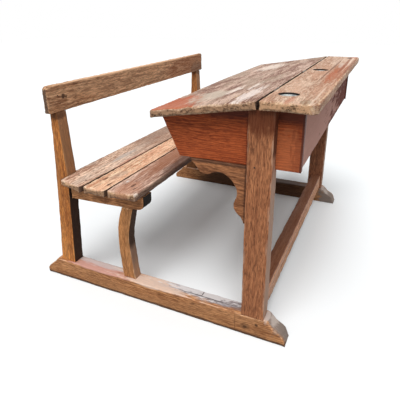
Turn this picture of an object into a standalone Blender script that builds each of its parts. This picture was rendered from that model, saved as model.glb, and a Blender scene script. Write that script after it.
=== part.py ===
"""Two-seat school desk and its bench, joined on one pair of floor runners.

Metres, +Z up. +X runs along the desk to the pupils' right, +Y from the bench to the desk.
Each timber is its own solid, with the tenons, housings, pegs, nails and hinges that hold it.
The writing lid turns on three butt hinges that are sunk in the seam before the inkwell strip.
"""
import math

import bmesh
import bpy
from mathutils import Vector

# Fits and small edges
fit_gap = 0.0003
overrun = 0.006
arris = 0.0016
arris_angle = 35.0
corner_angle = 50.0
round_angle = 40.0
nose_radius = 0.008

# Floor runners
runner_span = 1.139
runner_length = 0.9584
runner_back = 0.4944
runner_width = 0.0552
runner_height = 0.0745
heel_length = 0.0591
toe_length = 0.069
heel_shares = [(0.105, 0.0), (0.0, 0.215), (0.255, 0.47), (0.668, 0.738), (0.917, 0.953), (1.0, 1.0)]
toe_shares = [(1.0, 1.0), (0.81, 0.906), (0.69, 0.746), (0.478, 0.61), (0.26, 0.503), (0.116, 0.329),
              (0.05, 0.134), (0.0, 0.0)]

# Tenons through the runners, and their pegs
tenon_shoulder = 0.009
tenon_lift = 0.002
peg_radius = 0.004
back_peg_shares = [(-0.24, 0.30), (0.22, 0.38)]
leg_peg_shares = [(-0.13, 0.70), (0.20, 0.74)]
desk_peg_shares = [(-0.24, 0.37), (0.21, 0.65)]

# Back posts
back_post_set = 0.0751
back_post_inset = 0.0065
back_post_width = 0.046
back_post_foot_depth = 0.0657
back_post_seat_reach = 0.0863
back_post_rail_reach = 0.0743
back_post_lean = 0.0428
back_post_lean_shares = [(0.0, 0.0), (0.23, 0.36), (0.54, 0.755), (0.79, 1.0), (1.0, 1.0)]

# Backrest rail
rail_top = 0.751
rail_height = 0.091
rail_thickness = 0.019
rail_overhang = 0.031
rail_round = 0.006
tongue_drop = 0.008
rail_nail_shares = [(0.0, 0.30), (0.15, 0.60)]

# Seat slats
seat_height = 0.4353
seat_overhang = 0.034
slat_gap = 0.008
slat_skew = 0.009
slat_notch = 0.013
rear_slat_width = 0.0825
rear_slat_thickness = 0.0215
rear_slat_dip = 0.0129
middle_slat_width = 0.0903
middle_slat_thickness = 0.0235
middle_slat_dip = 0.0092
front_slat_width = 0.1154
front_slat_thickness = 0.026
front_slat_dip = 0.0049
seat_nose_lower_radius = 0.012

# Seat bearers
bearer_inset = 0.0125
bearer_width = 0.052
bearer_rear_depth = 0.0652
bearer_front_depth = 0.0498
bearer_setback = 0.0015
bearer_round = 0.020
bearer_tenon_length = 0.034
bearer_tenon_width = 0.018
bearer_tenon_depth = 0.034

# Curved seat legs
leg_set = 0.2873
leg_width = 0.0375
leg_foot_depth = 0.048
leg_rear_shares = [(0.0, 0.0), (0.05, -0.083), (0.28, -0.20), (0.52, -0.277), (0.78, -0.14), (1.0, 0.27)]
leg_front_shares = [(1.0, 1.198), (0.75, 0.844), (0.56, 0.688), (0.29, 0.813), (0.0, 1.0)]
leg_top_tenon_length = 0.024
leg_top_tenon_depth = 0.026

# Desk posts
desk_post_toe_set = 0.0738
desk_post_inset = 0.0007
desk_post_width = 0.050
desk_post_depth = 0.0733

# Foot stretcher
stretcher_height = 0.0762
stretcher_thickness = 0.045
stretcher_set = 0.0191
stretcher_tenon_length = 0.030
stretcher_tenon_thickness = 0.020
stretcher_tenon_height = 0.054

# Desk top: sloping lid and level inkwell strip
desk_height = 0.760
top_overhang = 0.0142
strip_width = 0.1462
strip_thickness = 0.0254
strip_corner_radius = 0.020
seam_gap = 0.0056
seam_set = 0.0286
lid_slope = 0.163
lid_step = 0.0005
lid_thickness = 0.024
lid_rear_board_width = 0.0897
lid_front_board_width = 0.2268
lid_front_bulge = 0.0255
lid_bulge_shares = [(1.0, 0.0), (0.78, 0.12), (0.56, 0.24), (0.37, 0.46), (0.09, 0.80), (-0.21, 0.99),
                    (-0.71, 1.0), (-1.0, 0.90)]

# Battens under the lid
batten_count = 3
batten_end_set = 0.223
batten_width = 0.045
batten_thickness = 0.018
batten_rear_space = 0.020
batten_length = 0.225

# Inkwells and pen groove
inkwell_end_set = 0.116
inkwell_spacing = 0.524
inkwell_set = 0.0487
inkwell_hole_radius = 0.0285
inkwell_sink = 0.005
inkwell_flange_thickness = 0.004
inkwell_body_radius = 0.0235
inkwell_body_depth = 0.036
inkwell_wall = 0.004
inkwell_clearance = 0.0008
groove_start_x = -0.350
groove_end_x = 0.250
groove_set = 0.1122
groove_width = 0.031
groove_depth = 0.0035
groove_floor_share = 0.6
groove_end_shares = [(0.0, 0.25), (0.35, 0.75), (1.0, 1.0)]

# Book box
box_depth = 0.1686
box_side_thickness = 0.019
box_back_set = 0.0688
box_foot_reach = 0.2192
box_lip_reach = 0.2764
box_board_thickness = 0.016
box_front_setback = 0.008
box_back_setback = 0.004
box_floor_lift = 0.007
housing_depth = 0.006

# Scrolled brackets
bracket_thickness = 0.0247
bracket_reach = 0.181
bracket_drop = 0.182
bracket_scroll_shares = [(0.975, 0.050), (0.885, 0.150), (0.835, 0.212), (0.775, 0.240), (0.695, 0.243),
                         (0.61, 0.203), (0.535, 0.181), (0.45, 0.179), (0.36, 0.218), (0.27, 0.291),
                         (0.215, 0.374), (0.187, 0.46), (0.195, 0.56), (0.235, 0.67), (0.228, 0.765),
                         (0.165, 0.855), (0.105, 0.905), (0.06, 1.0)]

# Butt hinges
hinge_count = 3
hinge_end_set = 0.183
hinge_length = 0.060
barrel_radius = 0.0025
bore_radius = 0.0013
pin_radius = 0.0010
leaf_height = 0.0175

# Nails
nail_radius = 0.0016
nail_head_radius = 0.0035
nail_head_thickness = 0.0015
nail_sink = 0.0012
rail_nail_length = 0.028
strip_nail_length = 0.050
strip_nail_edge = 0.011
post_nail_length = 0.040
post_nail_set = 0.0235
post_nail_height = 0.009
turned_sides = 8
round_sides = 24

# Places that follow from the sizes
runner_outer = runner_span / 2
runner_inner = runner_outer - runner_width
runner_toe = runner_length - runner_back
back_line = back_post_set - runner_back
back_outer = runner_outer - back_post_inset
back_inner = back_outer - back_post_width
leg_outer = runner_outer - bearer_inset
leg_inner = leg_outer - leg_width
leg_line = back_line + leg_set
bearer_inner = leg_outer - bearer_width
post_rear = runner_toe - desk_post_toe_set
post_line = post_rear - desk_post_depth
post_outer = runner_outer - desk_post_inset
post_inner = post_outer - desk_post_width
foot_height = runner_height + fit_gap
rail_bottom = rail_top - rail_height
rail_front = back_line + back_post_rail_reach
rail_back = rail_front - rail_thickness
rail_half = back_outer + rail_overhang
tongue_top = rail_top - tongue_drop
seat_half = back_outer + seat_overhang
seat_line = back_line + back_post_seat_reach + fit_gap
bearer_middle = seat_height - rear_slat_thickness - bearer_rear_depth / 2
seat_nose = seat_line + rear_slat_width + middle_slat_width + front_slat_width + 2 * slat_gap
top_half = post_outer + top_overhang
hinge_spacing = 2 * (top_half - hinge_end_set) / (hinge_count - 1)
batten_spacing = 2 * (top_half - batten_end_set) / (batten_count - 1)
inkwell_first_x = top_half - inkwell_end_set
inkwell_second_x = inkwell_first_x - inkwell_spacing
hinge_line = post_line + seam_set
hinge_height = desk_height - barrel_radius
strip_front = hinge_line + seam_gap / 2
strip_back = strip_front + strip_width
strip_under = desk_height - strip_thickness
box_bottom = strip_under - box_depth
lid_rear = hinge_line - seam_gap / 2
lid_joint = lid_rear - lid_rear_board_width
lid_front = lid_joint - lid_front_board_width
lid_drop = lid_thickness * math.hypot(1.0, lid_slope)
box_outer = post_inner + box_side_thickness
box_back = post_rear + box_back_set
box_top = strip_under - fit_gap
box_foot = post_line - box_foot_reach
box_lip = post_line - box_lip_reach

# Oak and red pine, glazed ware and iron
oak = ("oak", (0.330, 0.155, 0.065), 0.55, 0.0)
worn_oak = ("worn_oak", (0.430, 0.255, 0.140), 0.62, 0.0)
red_pine = ("red_pine", (0.290, 0.080, 0.030), 0.45, 0.0)
plain_pine = ("plain_pine", (0.400, 0.260, 0.140), 0.70, 0.0)
glazed_ware = ("glazed_ware", (0.560, 0.560, 0.520), 0.25, 0.0)
dark_iron = ("dark_iron", (0.060, 0.052, 0.045), 0.55, 0.85)
hinge_steel = ("hinge_steel", (0.180, 0.165, 0.150), 0.45, 0.90)


def finish(kind):
    """Return the material of one kind of wood, ware or metal, made when it is first asked for."""
    name, colour, roughness, metallic = kind
    made = bpy.data.materials.get(name)
    if made is None:
        made = bpy.data.materials.new(name)
        made.use_nodes = True
        shader = made.node_tree.nodes["Principled BSDF"]
        shader.inputs["Base Color"].default_value = (*colour, 1.0)
        shader.inputs["Roughness"].default_value = roughness
        shader.inputs["Metallic"].default_value = metallic
    return made


def new_piece(name, shape, kind, place=(0.0, 0.0, 0.0)):
    """Turn a finished bmesh into a named object with its faces pointing out."""
    bmesh.ops.recalc_face_normals(shape, faces=shape.faces)
    mesh = bpy.data.meshes.new(name)
    shape.to_mesh(mesh)
    shape.free()
    mesh.materials.append(finish(kind))
    piece = bpy.data.objects.new(name, mesh)
    piece.location = place
    bpy.context.collection.objects.link(piece)
    return piece


def as_cutter(piece):
    """Keep an object as a guide for Booleans only."""
    piece.hide_render = True
    piece.display_type = "WIRE"
    return piece


def boolean(piece, guide, operation):
    modifier = piece.modifiers.new(guide.name, "BOOLEAN")
    modifier.operation = operation
    modifier.solver = "EXACT"
    modifier.object = guide


def cut(piece, guide):
    boolean(piece, guide, "DIFFERENCE")


def unite(piece, guide):
    boolean(piece, guide, "UNION")


def ease(piece, width, angle=arris_angle):
    """Ease the sharp arrises of a timber with one small chamfer."""
    modifier = piece.modifiers.new("arris", "BEVEL")
    modifier.width = width
    modifier.segments = 1
    modifier.limit_method = "ANGLE"
    modifier.angle_limit = math.radians(angle)


def loft(name, sections, kind, place=(0.0, 0.0, 0.0)):
    """Join closed (y, z) outlines, each at its own x, into one solid."""
    shape = bmesh.new()
    rings = [[shape.verts.new((x, y, z)) for y, z in outline] for x, outline in sections]
    count = len(rings[0])
    for ring, following in zip(rings, rings[1:]):
        for corner in range(count):
            beside = (corner + 1) % count
            shape.faces.new((ring[corner], ring[beside], following[beside], following[corner]))
    shape.faces.new(rings[0])
    shape.faces.new(rings[-1])
    return new_piece(name, shape, kind, place)


def prism(name, outline, low, high, kind):
    """Carry one (y, z) outline along X from low to high."""
    return loft(name, [(low, outline), (high, outline)], kind)


def block(name, low, high, kind):
    """Make a squared block between two corners."""
    outline = [(low[1], low[2]), (high[1], low[2]), (high[1], high[2]), (low[1], high[2])]
    return prism(name, outline, low[0], high[0], kind)


def guide_block(name, low, high):
    return as_cutter(block(name, low, high, plain_pine))


def smooth(points, steps=3):
    """Run a Catmull-Rom curve through (u, v) points."""
    ends = [points[0]] + list(points) + [points[-1]]
    path = []
    for index in range(1, len(ends) - 2):
        before, start, end, after = (Vector(ends[index + shift]) for shift in (-1, 0, 1, 2))
        for step in range(steps):
            t = step / steps
            path.append(0.5 * (2 * start + (end - before) * t
                               + (2 * before - 5 * start + 4 * end - after) * t ** 2
                               + (3 * start - before - 3 * end + after) * t ** 3))
    path.append(Vector(ends[-2]))
    return [(point.x, point.y) for point in path]


def rounded(outline, radii, steps=4):
    """Replace the corners listed in radii with soft arcs."""
    path = []
    for index, (u, v) in enumerate(outline):
        radius = radii.get(index, 0.0)
        corner = Vector((u, v))
        if not radius:
            path.append((u, v))
            continue
        back = Vector(outline[index - 1]) - corner
        ahead = Vector(outline[(index + 1) % len(outline)]) - corner
        reach = radius / math.tan(back.angle(ahead) / 2)
        start = corner + back.normalized() * reach
        end = corner + ahead.normalized() * reach
        for step in range(steps + 1):
            t = step / steps
            point = start * (1 - t) ** 2 + corner * 2 * t * (1 - t) + end * t ** 2
            path.append((point.x, point.y))
    return path


def turned_bmesh(shape, profile, sides, place, turn):
    """Add one turned solid to a bmesh: profile lists (radius, height) from its foot to its top."""
    rings = []
    for radius, height in profile:
        if radius == 0.0:
            rings.append([shape.verts.new(turn @ Vector((0.0, 0.0, height)) + place)])
            continue
        ring = []
        for side in range(sides):
            angle = 2 * math.pi * (side + 0.5) / sides
            point = Vector((radius * math.cos(angle), radius * math.sin(angle), height))
            ring.append(shape.verts.new(turn @ point + place))
        rings.append(ring)
    for ring, following in zip(rings, rings[1:]):
        for side in range(sides):
            beside = (side + 1) % sides
            low = [ring[0]] if len(ring) == 1 else [ring[side], ring[beside]]
            high = [following[0]] if len(following) == 1 else [following[beside], following[side]]
            shape.faces.new(low + high)


def turned(name, profile, places, kind, direction=(0.0, 0.0, 1.0), sides=turned_sides):
    """Make a group of like turned solids whose own +Z points along direction."""
    shape = bmesh.new()
    turn = Vector((0.0, 0.0, 1.0)).rotation_difference(Vector(direction)).to_matrix()
    for place in places:
        turned_bmesh(shape, profile, sides, Vector(place), turn)
    piece = new_piece(name, shape, kind)
    piece.data.shade_smooth()
    piece.data.set_sharp_from_angle(angle=math.radians(round_angle))
    return piece


def nail_profile(length, grow=0.0, rise=0.0):
    """Flat-headed nail: foot at -length, top of the head at 0, grown all round for its hole."""
    under = -nail_head_thickness - grow
    return [(0.0, -length - grow), (nail_radius + grow, -length - grow), (nail_radius + grow, under),
            (nail_head_radius + grow, under), (nail_head_radius + grow, rise), (0.0, rise)]


def nails(name, places, direction, length, through):
    """Drive nails one by one, sunk a little below the face, through the pieces they hold."""
    profile = nail_profile(length)
    profile[-2:] = [(nail_head_radius, 0.0), (0.0, 0.0)]
    for number, place in enumerate(places, 1):
        turned(name + "_" + str(number), profile, [place], dark_iron, direction)
    hole = nail_profile(length, fit_gap, overrun)
    drill = as_cutter(turned(name + "_drill", hole, places, dark_iron, direction))
    for piece in through:
        cut(piece, drill)


def on_side(side, low, high):
    """Give an x range of the right half on its own side, in rising order."""
    return (low, high) if side > 0 else (-high, -low)


def letter_of(index):
    """Name the copies of one piece a, b, c."""
    return chr(ord("a") + index)


def mortise(host, name, low, high):
    """Cut a tenon's slot, one fit gap larger all round."""
    gap = Vector((fit_gap, fit_gap, fit_gap))
    cut(host, guide_block(name, Vector(low) - gap, Vector(high) + gap))


def lid_top_at(y):
    return desk_height - lid_step - lid_slope * (lid_rear - y)


def lid_under_at(y):
    return lid_top_at(y) - lid_drop


def post_front_at(z):
    """Front face of a back post: one line up to the seat, one from there to the rail."""
    if z < seat_height:
        share = (z - foot_height) / (seat_height - foot_height)
        return back_line + back_post_foot_depth + share * (back_post_seat_reach - back_post_foot_depth)
    share = (z - seat_height) / (rail_bottom - seat_height)
    return back_line + back_post_seat_reach + share * (back_post_rail_reach - back_post_seat_reach)


def seat_edges(x):
    """Front and rear edges of the three slats at one x: the gaps run forward towards -X."""
    skew = slat_skew * (seat_half - x) / (2 * seat_half)
    rear = (seat_line, seat_line + rear_slat_width + skew)
    middle = (rear[1] + slat_gap, rear[1] + slat_gap + middle_slat_width)
    front = (middle[1] + slat_gap, seat_nose)
    return rear, middle, front


slat_heights = [(seat_height, seat_height - rear_slat_dip),
                (seat_height - middle_slat_dip, seat_height - middle_slat_dip),
                (seat_height - front_slat_dip, seat_height)]
slat_thicknesses = [rear_slat_thickness, middle_slat_thickness, front_slat_thickness]


def bearer_bottom_at(y):
    """Underside of a seat bearer: a straight line from the back post to the seat's nose."""
    rear = seat_height - bearer_rear_depth - rear_slat_thickness
    front = seat_height - bearer_front_depth - front_slat_thickness
    share = (y - seat_line) / (seat_nose - seat_line)
    return rear + share * (front - rear)


def make_runner(side, name):
    """Floor runner with a cyma toe, a rounded heel and three mortises right through it."""
    heel = [(-runner_back + heel_length * u, runner_height * v) for u, v in heel_shares]
    toe = [(runner_toe - toe_length * u, runner_height * v) for u, v in toe_shares]
    outline = smooth(heel, 2) + smooth(toe, 2)
    low, high = on_side(side, runner_inner, runner_outer)
    runner = prism("runner_" + name, outline, low, high, oak)
    ease(runner, arris)
    return runner


def foot_tenon(post, runner, name, side, inner, outer, rear, depth, peg_shares):
    """Carry a post down through the runner as a tenon, and give the places of its pegs."""
    low_x, high_x = on_side(side, inner + tenon_shoulder, outer - tenon_shoulder)
    low = (low_x, rear + tenon_shoulder, tenon_lift)
    high = (high_x, rear + depth - tenon_shoulder, foot_height + overrun)
    unite(post, guide_block(name + "_tenon", low, high))
    mortise(runner, name + "_mortise", (low_x, low[1], -overrun), (high_x, high[1], high[2]))
    middle = rear + depth / 2
    return [(side * runner_inner, middle + depth * u, runner_height * v) for u, v in peg_shares]


def drive_pegs(side, name, runner, posts, places):
    """Oak pegs through the runner and the tenons, flush with the runner's faces."""
    profile = [(0.0, 0.0), (peg_radius, 0.0), (peg_radius, runner_width), (0.0, runner_width)]
    reach = runner_width + overrun
    hole = [(0.0, -overrun), (peg_radius + fit_gap, -overrun), (peg_radius + fit_gap, reach), (0.0, reach)]
    direction = (side, 0.0, 0.0)
    for number, place in enumerate(places, 1):
        turned("runner_peg_" + name + "_" + str(number), profile, [place], worn_oak, direction)
    drill = as_cutter(turned("peg_drill_" + name, hole, places, worn_oak, direction))
    for piece in [runner] + posts:
        cut(piece, drill)


def make_back_post(side, name):
    """Back post: leans and swells to the seat, then thins to the tongue behind the rail."""
    height = tongue_top - foot_height
    rear = [(back_line + back_post_lean * lean, foot_height + height * up)
            for up, lean in back_post_lean_shares]
    outline = smooth(rear, 3) + [
        (rail_front, tongue_top),
        (rail_front, rail_bottom),
        (back_line + back_post_seat_reach, seat_height),
        (back_line + back_post_foot_depth, foot_height)]
    low, high = on_side(side, back_inner, back_outer)
    post = prism("back_post_" + name, outline, low, high, oak)
    ease(post, arris)
    low = (low - overrun, rail_back - fit_gap, rail_bottom - fit_gap)
    high = (high + overrun, rail_front + overrun, rail_top)
    cut(post, guide_block("rail_rebate_" + name, low, high))
    return post


def make_rail():
    """Backrest rail: one board with an eased top and rounded ends, let into both posts."""
    rear, front = rail_back, rail_front
    outline = [(rear, rail_bottom), (front, rail_bottom), (front, rail_top), (rear, rail_top)]
    tapered = [(rear, rail_bottom + rail_round), (front, rail_bottom + rail_round),
               (front, rail_top - rail_round), (rear, rail_top - rail_round)]
    soft = {0: arris, 1: arris, 2: rail_round, 3: rail_round}
    inner = rail_half - rail_round
    sections = [(-rail_half, rounded(tapered, soft)), (-inner, rounded(outline, soft)),
                (inner, rounded(outline, soft)), (rail_half, rounded(tapered, soft))]
    return loft("backrest_rail", sections, oak)


def make_leg(side, name):
    """Seat leg sawn to a bow, swelling to a foot and a shoulder under the bearer."""
    def height_at(share, y):
        return foot_height + share * (bearer_bottom_at(y) - fit_gap - foot_height)

    rear = [(leg_line + leg_foot_depth * u, up) for up, u in leg_rear_shares]
    front = [(leg_line + leg_foot_depth * u, up) for up, u in leg_front_shares]
    outline = [(y, height_at(up, y)) for y, up in smooth(rear, 3) + smooth(front, 3)]
    low, high = on_side(side, leg_inner, leg_outer)
    leg = prism("seat_leg_" + name, outline, low, high, oak)
    ease(leg, arris)
    return leg


def make_bearer(side, name, post, leg):
    """Seat bearer: dished for the three slats, tenoned to the post, on top of the leg."""
    middle_x = side * (bearer_inner + leg_outer) / 2
    edges = seat_edges(middle_x)
    clear = slat_gap / 4
    top = []
    for (rear, front), (start, end), thickness in zip(edges, slat_heights, slat_thicknesses):
        slope = (end - start) / (front - rear)
        under = start - thickness - fit_gap
        first = rear - clear
        last = front + clear
        top += [(first, under + slope * (first - rear)), (last, under + slope * (last - rear))]
    front = seat_nose - bearer_setback
    top[-1] = (front, top[-1][1])
    top[0] = (post_front_at(top[0][1]) + fit_gap, top[0][1])
    foot = bearer_bottom_at(seat_line)
    outline = top + [(front, bearer_bottom_at(front)), (post_front_at(foot) + fit_gap, foot)]
    outline = rounded(outline, {len(top): bearer_round})
    low, high = on_side(side, bearer_inner, leg_outer)
    bearer = prism("seat_bearer_" + name, outline, low, high, oak)
    ease(bearer, arris)

    half = bearer_tenon_width / 2
    across = side * (back_inner + back_outer) / 2
    half_depth = bearer_tenon_depth / 2
    shoulder = post_front_at(bearer_middle)
    low = (across - half, shoulder - bearer_tenon_length, bearer_middle - half_depth)
    high = (across + half, shoulder + overrun, bearer_middle + half_depth)
    unite(bearer, guide_block("bearer_tenon_" + name, low, high))
    mortise(post, "bearer_mortise_" + name, low, high)

    low_x, high_x = on_side(side, leg_inner + tenon_shoulder, leg_outer - tenon_shoulder)
    leg_top = leg_line + leg_foot_depth * (leg_rear_shares[-1][1] + leg_front_shares[0][1]) / 2
    start = leg_top - leg_top_tenon_depth / 2
    end = leg_top + leg_top_tenon_depth / 2
    seat = bearer_bottom_at(leg_top)
    low = (low_x, start, seat - overrun)
    high = (high_x, end, seat + leg_top_tenon_length)
    unite(leg, guide_block("leg_tenon_" + name, low, high))
    mortise(bearer, "leg_mortise_" + name, low, high)


def make_slats():
    """Three seat slats: the gaps skew along the bench, and the rear one passes between the posts."""
    names = ["seat_slat_rear", "seat_slat_middle", "seat_slat_front"]
    for index, name in enumerate(names):
        start, end = slat_heights[index]
        thickness = slat_thicknesses[index]
        sections = []
        for x in (-seat_half, seat_half):
            rear, front = seat_edges(x)[index]
            high = start
            if index == 0:
                high -= slat_notch * (end - start) / (front - rear)
                rear -= slat_notch
            outline = [(rear, high - thickness), (front, end - thickness), (front, end), (rear, high)]
            soft = {}
            if index == 2:
                soft = {1: seat_nose_lower_radius, 2: nose_radius}
            sections.append((x, rounded(outline, soft)))
        slat = loft(name, sections, worn_oak)
        ease(slat, arris, corner_angle)
        if index == 0:
            rear_slat = slat
    for side, name in sides:
        low_x, high_x = on_side(side, back_inner - fit_gap, seat_half + overrun)
        low = (low_x, seat_line - slat_notch - overrun, seat_height - rear_slat_thickness - overrun)
        high = (high_x, seat_line, seat_height + overrun)
        cut(rear_slat, guide_block("slat_notch_" + name, low, high))


def make_desk_post(side, name):
    """Desk post: squared timber, cut back inside for the box and sloped under the lid."""
    seam = hinge_line
    top = min(lid_under_at(seam), strip_under) - fit_gap
    outline = [(post_line, foot_height), (post_rear, foot_height), (post_rear, box_top),
               (seam, top), (post_line, lid_under_at(post_line) - fit_gap)]
    low, high = on_side(side, post_inner, post_outer)
    post = prism("desk_post_" + name, outline, low, high, oak)
    ease(post, arris)
    low_x, high_x = on_side(side, post_inner - overrun, box_outer + fit_gap)
    low = (low_x, post_line - overrun, box_bottom - fit_gap)
    high = (high_x, post_rear + overrun, desk_height)
    cut(post, guide_block("box_rebate_" + name, low, high))
    return post


def make_stretcher(posts):
    """Foot stretcher between the desk posts, tenoned into both."""
    half = post_inner - fit_gap
    rear = post_line + stretcher_set
    front = rear + stretcher_thickness
    top = foot_height + stretcher_height
    stretcher = block("foot_stretcher", (-half, rear, foot_height), (half, front, top), oak)
    ease(stretcher, arris)
    middle = (rear + front) / 2
    centre = foot_height + stretcher_height / 2
    for (side, name), post in zip(sides, posts):
        low_x, high_x = on_side(side, half - overrun, post_inner + stretcher_tenon_length)
        low = (low_x, middle - stretcher_tenon_thickness / 2, centre - stretcher_tenon_height / 2)
        high = (high_x, middle + stretcher_tenon_thickness / 2, centre + stretcher_tenon_height / 2)
        unite(stretcher, guide_block("stretcher_tenon_" + name, low, high))
        mortise(post, "stretcher_mortise_" + name, low, high)


def box_front_at(z):
    """Sloping front edge of the book box's sides."""
    lip_height = lid_under_at(box_lip)
    share = (z - box_bottom) / (lip_height - box_bottom)
    return box_foot + share * (box_lip - box_foot)


def make_box_side(side, name):
    """Side of the book box, running behind the post from the sloped front to the back."""
    outline = [(box_foot, box_bottom), (box_back, box_bottom), (box_back, box_top),
               (hinge_line, min(lid_under_at(hinge_line), strip_under) - fit_gap),
               (box_lip, lid_under_at(box_lip) - fit_gap)]
    low, high = on_side(side, post_inner, box_outer)
    panel = prism("box_side_" + name, outline, low, high, red_pine)
    ease(panel, arris)
    return panel


def make_box_boards(panels):
    """Front, back and floor boards of the book box, with their ends housed in its sides."""
    top = lid_under_at(box_lip + box_front_setback) - fit_gap
    back_rear = box_back - box_back_setback
    back_front = back_rear - box_board_thickness

    def front_outline(grow, reach):
        low = box_bottom - reach
        high = top + reach
        start = box_front_setback - grow
        end = box_front_setback + box_board_thickness + grow
        return [(box_front_at(low) + start, low), (box_front_at(low) + end, low),
                (box_front_at(high) + end, high), (box_front_at(high) + start, high)]

    def back_outline(grow, reach):
        low = box_bottom - reach
        high = box_top + reach
        return [(back_front - grow, low), (back_rear + grow, low),
                (back_rear + grow, high), (back_front - grow, high)]

    def floor_outline(grow, reach):
        low = box_bottom + box_floor_lift
        high = low + box_board_thickness
        front = box_front_setback + box_board_thickness + fit_gap - reach
        rear = back_front - fit_gap + reach
        return [(box_front_at(low) + front, low - grow), (rear, low - grow),
                (rear, high + grow), (box_front_at(high) + front, high + grow)]

    half = post_inner + housing_depth
    boards = [("box_front_board", front_outline, overrun, red_pine),
              ("box_back_board", back_outline, overrun, red_pine),
              ("box_floor_board", floor_outline, fit_gap, plain_pine)]
    for name, outline, reach, kind in boards:
        board = prism(name, outline(0.0, 0.0), -half + fit_gap, half - fit_gap, kind)
        housing = as_cutter(prism(name + "_housing", outline(fit_gap, reach), -half, half, kind))
        for panel in panels:
            cut(panel, housing)
        ease(board, arris)


def make_bracket(side, name):
    """Scroll-sawn oak bracket in the corner of post and box."""
    face = post_line - fit_gap
    ceiling = box_bottom - fit_gap
    scroll = [(face - bracket_reach * u, ceiling - bracket_drop * v) for u, v in bracket_scroll_shares]
    outline = [(face, ceiling), (face - bracket_reach, ceiling)] + smooth(scroll, 2)
    outline.append((face, outline[-1][1]))
    low, high = on_side(side, post_inner, post_inner + bracket_thickness)
    bracket = prism("desk_bracket_" + name, outline, low, high, oak)
    ease(bracket, arris / 2, corner_angle)


def make_strip(panels):
    """Level inkwell strip with rounded back corners, a pen groove and two stepped well holes."""
    shape = bmesh.new()
    plan = [(-top_half, strip_front), (top_half, strip_front), (top_half, strip_back),
            (-top_half, strip_back)]
    plan = rounded(plan, {2: strip_corner_radius, 3: strip_corner_radius}, 5)
    floor = shape.faces.new([shape.verts.new((x, y, strip_under)) for x, y in plan])
    raised = bmesh.ops.extrude_face_region(shape, geom=[floor])
    lift = [part for part in raised["geom"] if isinstance(part, bmesh.types.BMVert)]
    bmesh.ops.translate(shape, verts=lift, vec=(0.0, 0.0, strip_thickness))
    strip = new_piece("inkwell_strip", shape, worn_oak)
    ease(strip, arris * 2, corner_angle)

    ledge = desk_height - inkwell_sink - inkwell_flange_thickness - fit_gap
    body = inkwell_body_radius + inkwell_clearance
    hole = [(0.0, strip_under - overrun), (body, strip_under - overrun), (body, ledge),
            (inkwell_hole_radius, ledge), (inkwell_hole_radius, desk_height + overrun),
            (0.0, desk_height + overrun)]
    middle = strip_front + inkwell_set
    places = [(inkwell_first_x, middle, 0.0), (inkwell_second_x, middle, 0.0)]
    drill = turned("well_drill", hole, places, plain_pine, sides=round_sides)
    cut(strip, as_cutter(drill))

    groove_line = strip_front + groove_set
    rim = desk_height + overrun
    places = [(groove_start_x + along * groove_width / 2, share) for along, share in groove_end_shares]
    places += [(groove_end_x - along * groove_width / 2, share)
               for along, share in reversed(groove_end_shares)]
    sections = []
    for x, share in places:
        half = share * groove_width / 2
        floor_half = half * groove_floor_share
        floor = desk_height - groove_depth * share
        sections.append((x, [(groove_line - half, rim), (groove_line - half, desk_height),
                             (groove_line - floor_half, floor), (groove_line + floor_half, floor),
                             (groove_line + half, desk_height), (groove_line + half, rim)]))
    cut(strip, as_cutter(loft("pen_groove_cutter", sections, plain_pine)))

    head = desk_height - nail_sink
    across = (post_inner + box_outer) / 2
    back = box_back - strip_nail_edge
    places = [(side * across, back, head) for side, _ in sides]
    nails("strip_nail", places, (0.0, 0.0, 1.0), strip_nail_length, [strip] + panels)


def make_inkwells():
    """Glazed inkwells: a flange on the strip's ledge and a cup that hangs below."""
    rim = desk_height - inkwell_sink
    under = rim - inkwell_flange_thickness
    foot = rim - inkwell_body_depth
    inside = inkwell_body_radius - inkwell_wall
    flange = inkwell_hole_radius - inkwell_clearance
    profile = [(0.0, foot), (inkwell_body_radius - inkwell_wall / 2, foot),
               (inkwell_body_radius, foot + inkwell_wall), (inkwell_body_radius, under),
               (flange, under), (flange, rim - fit_gap), (flange - inkwell_wall / 4, rim),
               (inside + inkwell_wall / 2, rim), (inside, rim - inkwell_wall / 2),
               (inside, foot + 2 * inkwell_wall), (inside - inkwell_wall, foot + inkwell_wall),
               (0.0, foot + inkwell_wall)]
    middle = strip_front + inkwell_set
    for name, x in (("right", inkwell_first_x), ("left", inkwell_second_x)):
        turned("inkwell_cup_" + name, profile, [(x, middle, 0.0)], glazed_ware, sides=round_sides)


def make_lid():
    """Two lid boards: the front one widens and wanders along its worn front edge."""
    def outline(front, rear, soft):
        corners = [(front, lid_under_at(front)), (rear, lid_under_at(rear)),
                   (rear, lid_top_at(rear)), (front, lid_top_at(front))]
        return rounded(corners, soft)

    board_seam = lid_joint - fit_gap
    sections = []
    for along, bulge in reversed(lid_bulge_shares):
        front = lid_front - lid_front_bulge * bulge
        soft = {0: nose_radius / 2, 3: nose_radius / 2}
        sections.append((top_half * along, outline(front, board_seam, soft)))
    loft("lid_board_front", sections, worn_oak)
    rear_outline = outline(lid_joint, lid_rear, {2: arris})
    prism("lid_board_rear", rear_outline, -top_half, top_half, worn_oak)


def make_battens():
    """Battens screwed across the underside of the lid, inside the book box."""
    rear = lid_rear - batten_rear_space
    front = rear - batten_length
    drop = batten_thickness * math.hypot(1.0, lid_slope)
    for index in range(batten_count):
        x = batten_spacing * (index - (batten_count - 1) / 2)
        outline = []
        for y, down in ((front, drop), (rear, drop), (rear, fit_gap), (front, fit_gap)):
            outline.append((y, lid_under_at(y) - down))
        name = "lid_batten_" + letter_of(index)
        batten = prism(name, outline, x - batten_width / 2, x + batten_width / 2, plain_pine)
        ease(batten, arris)


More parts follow.
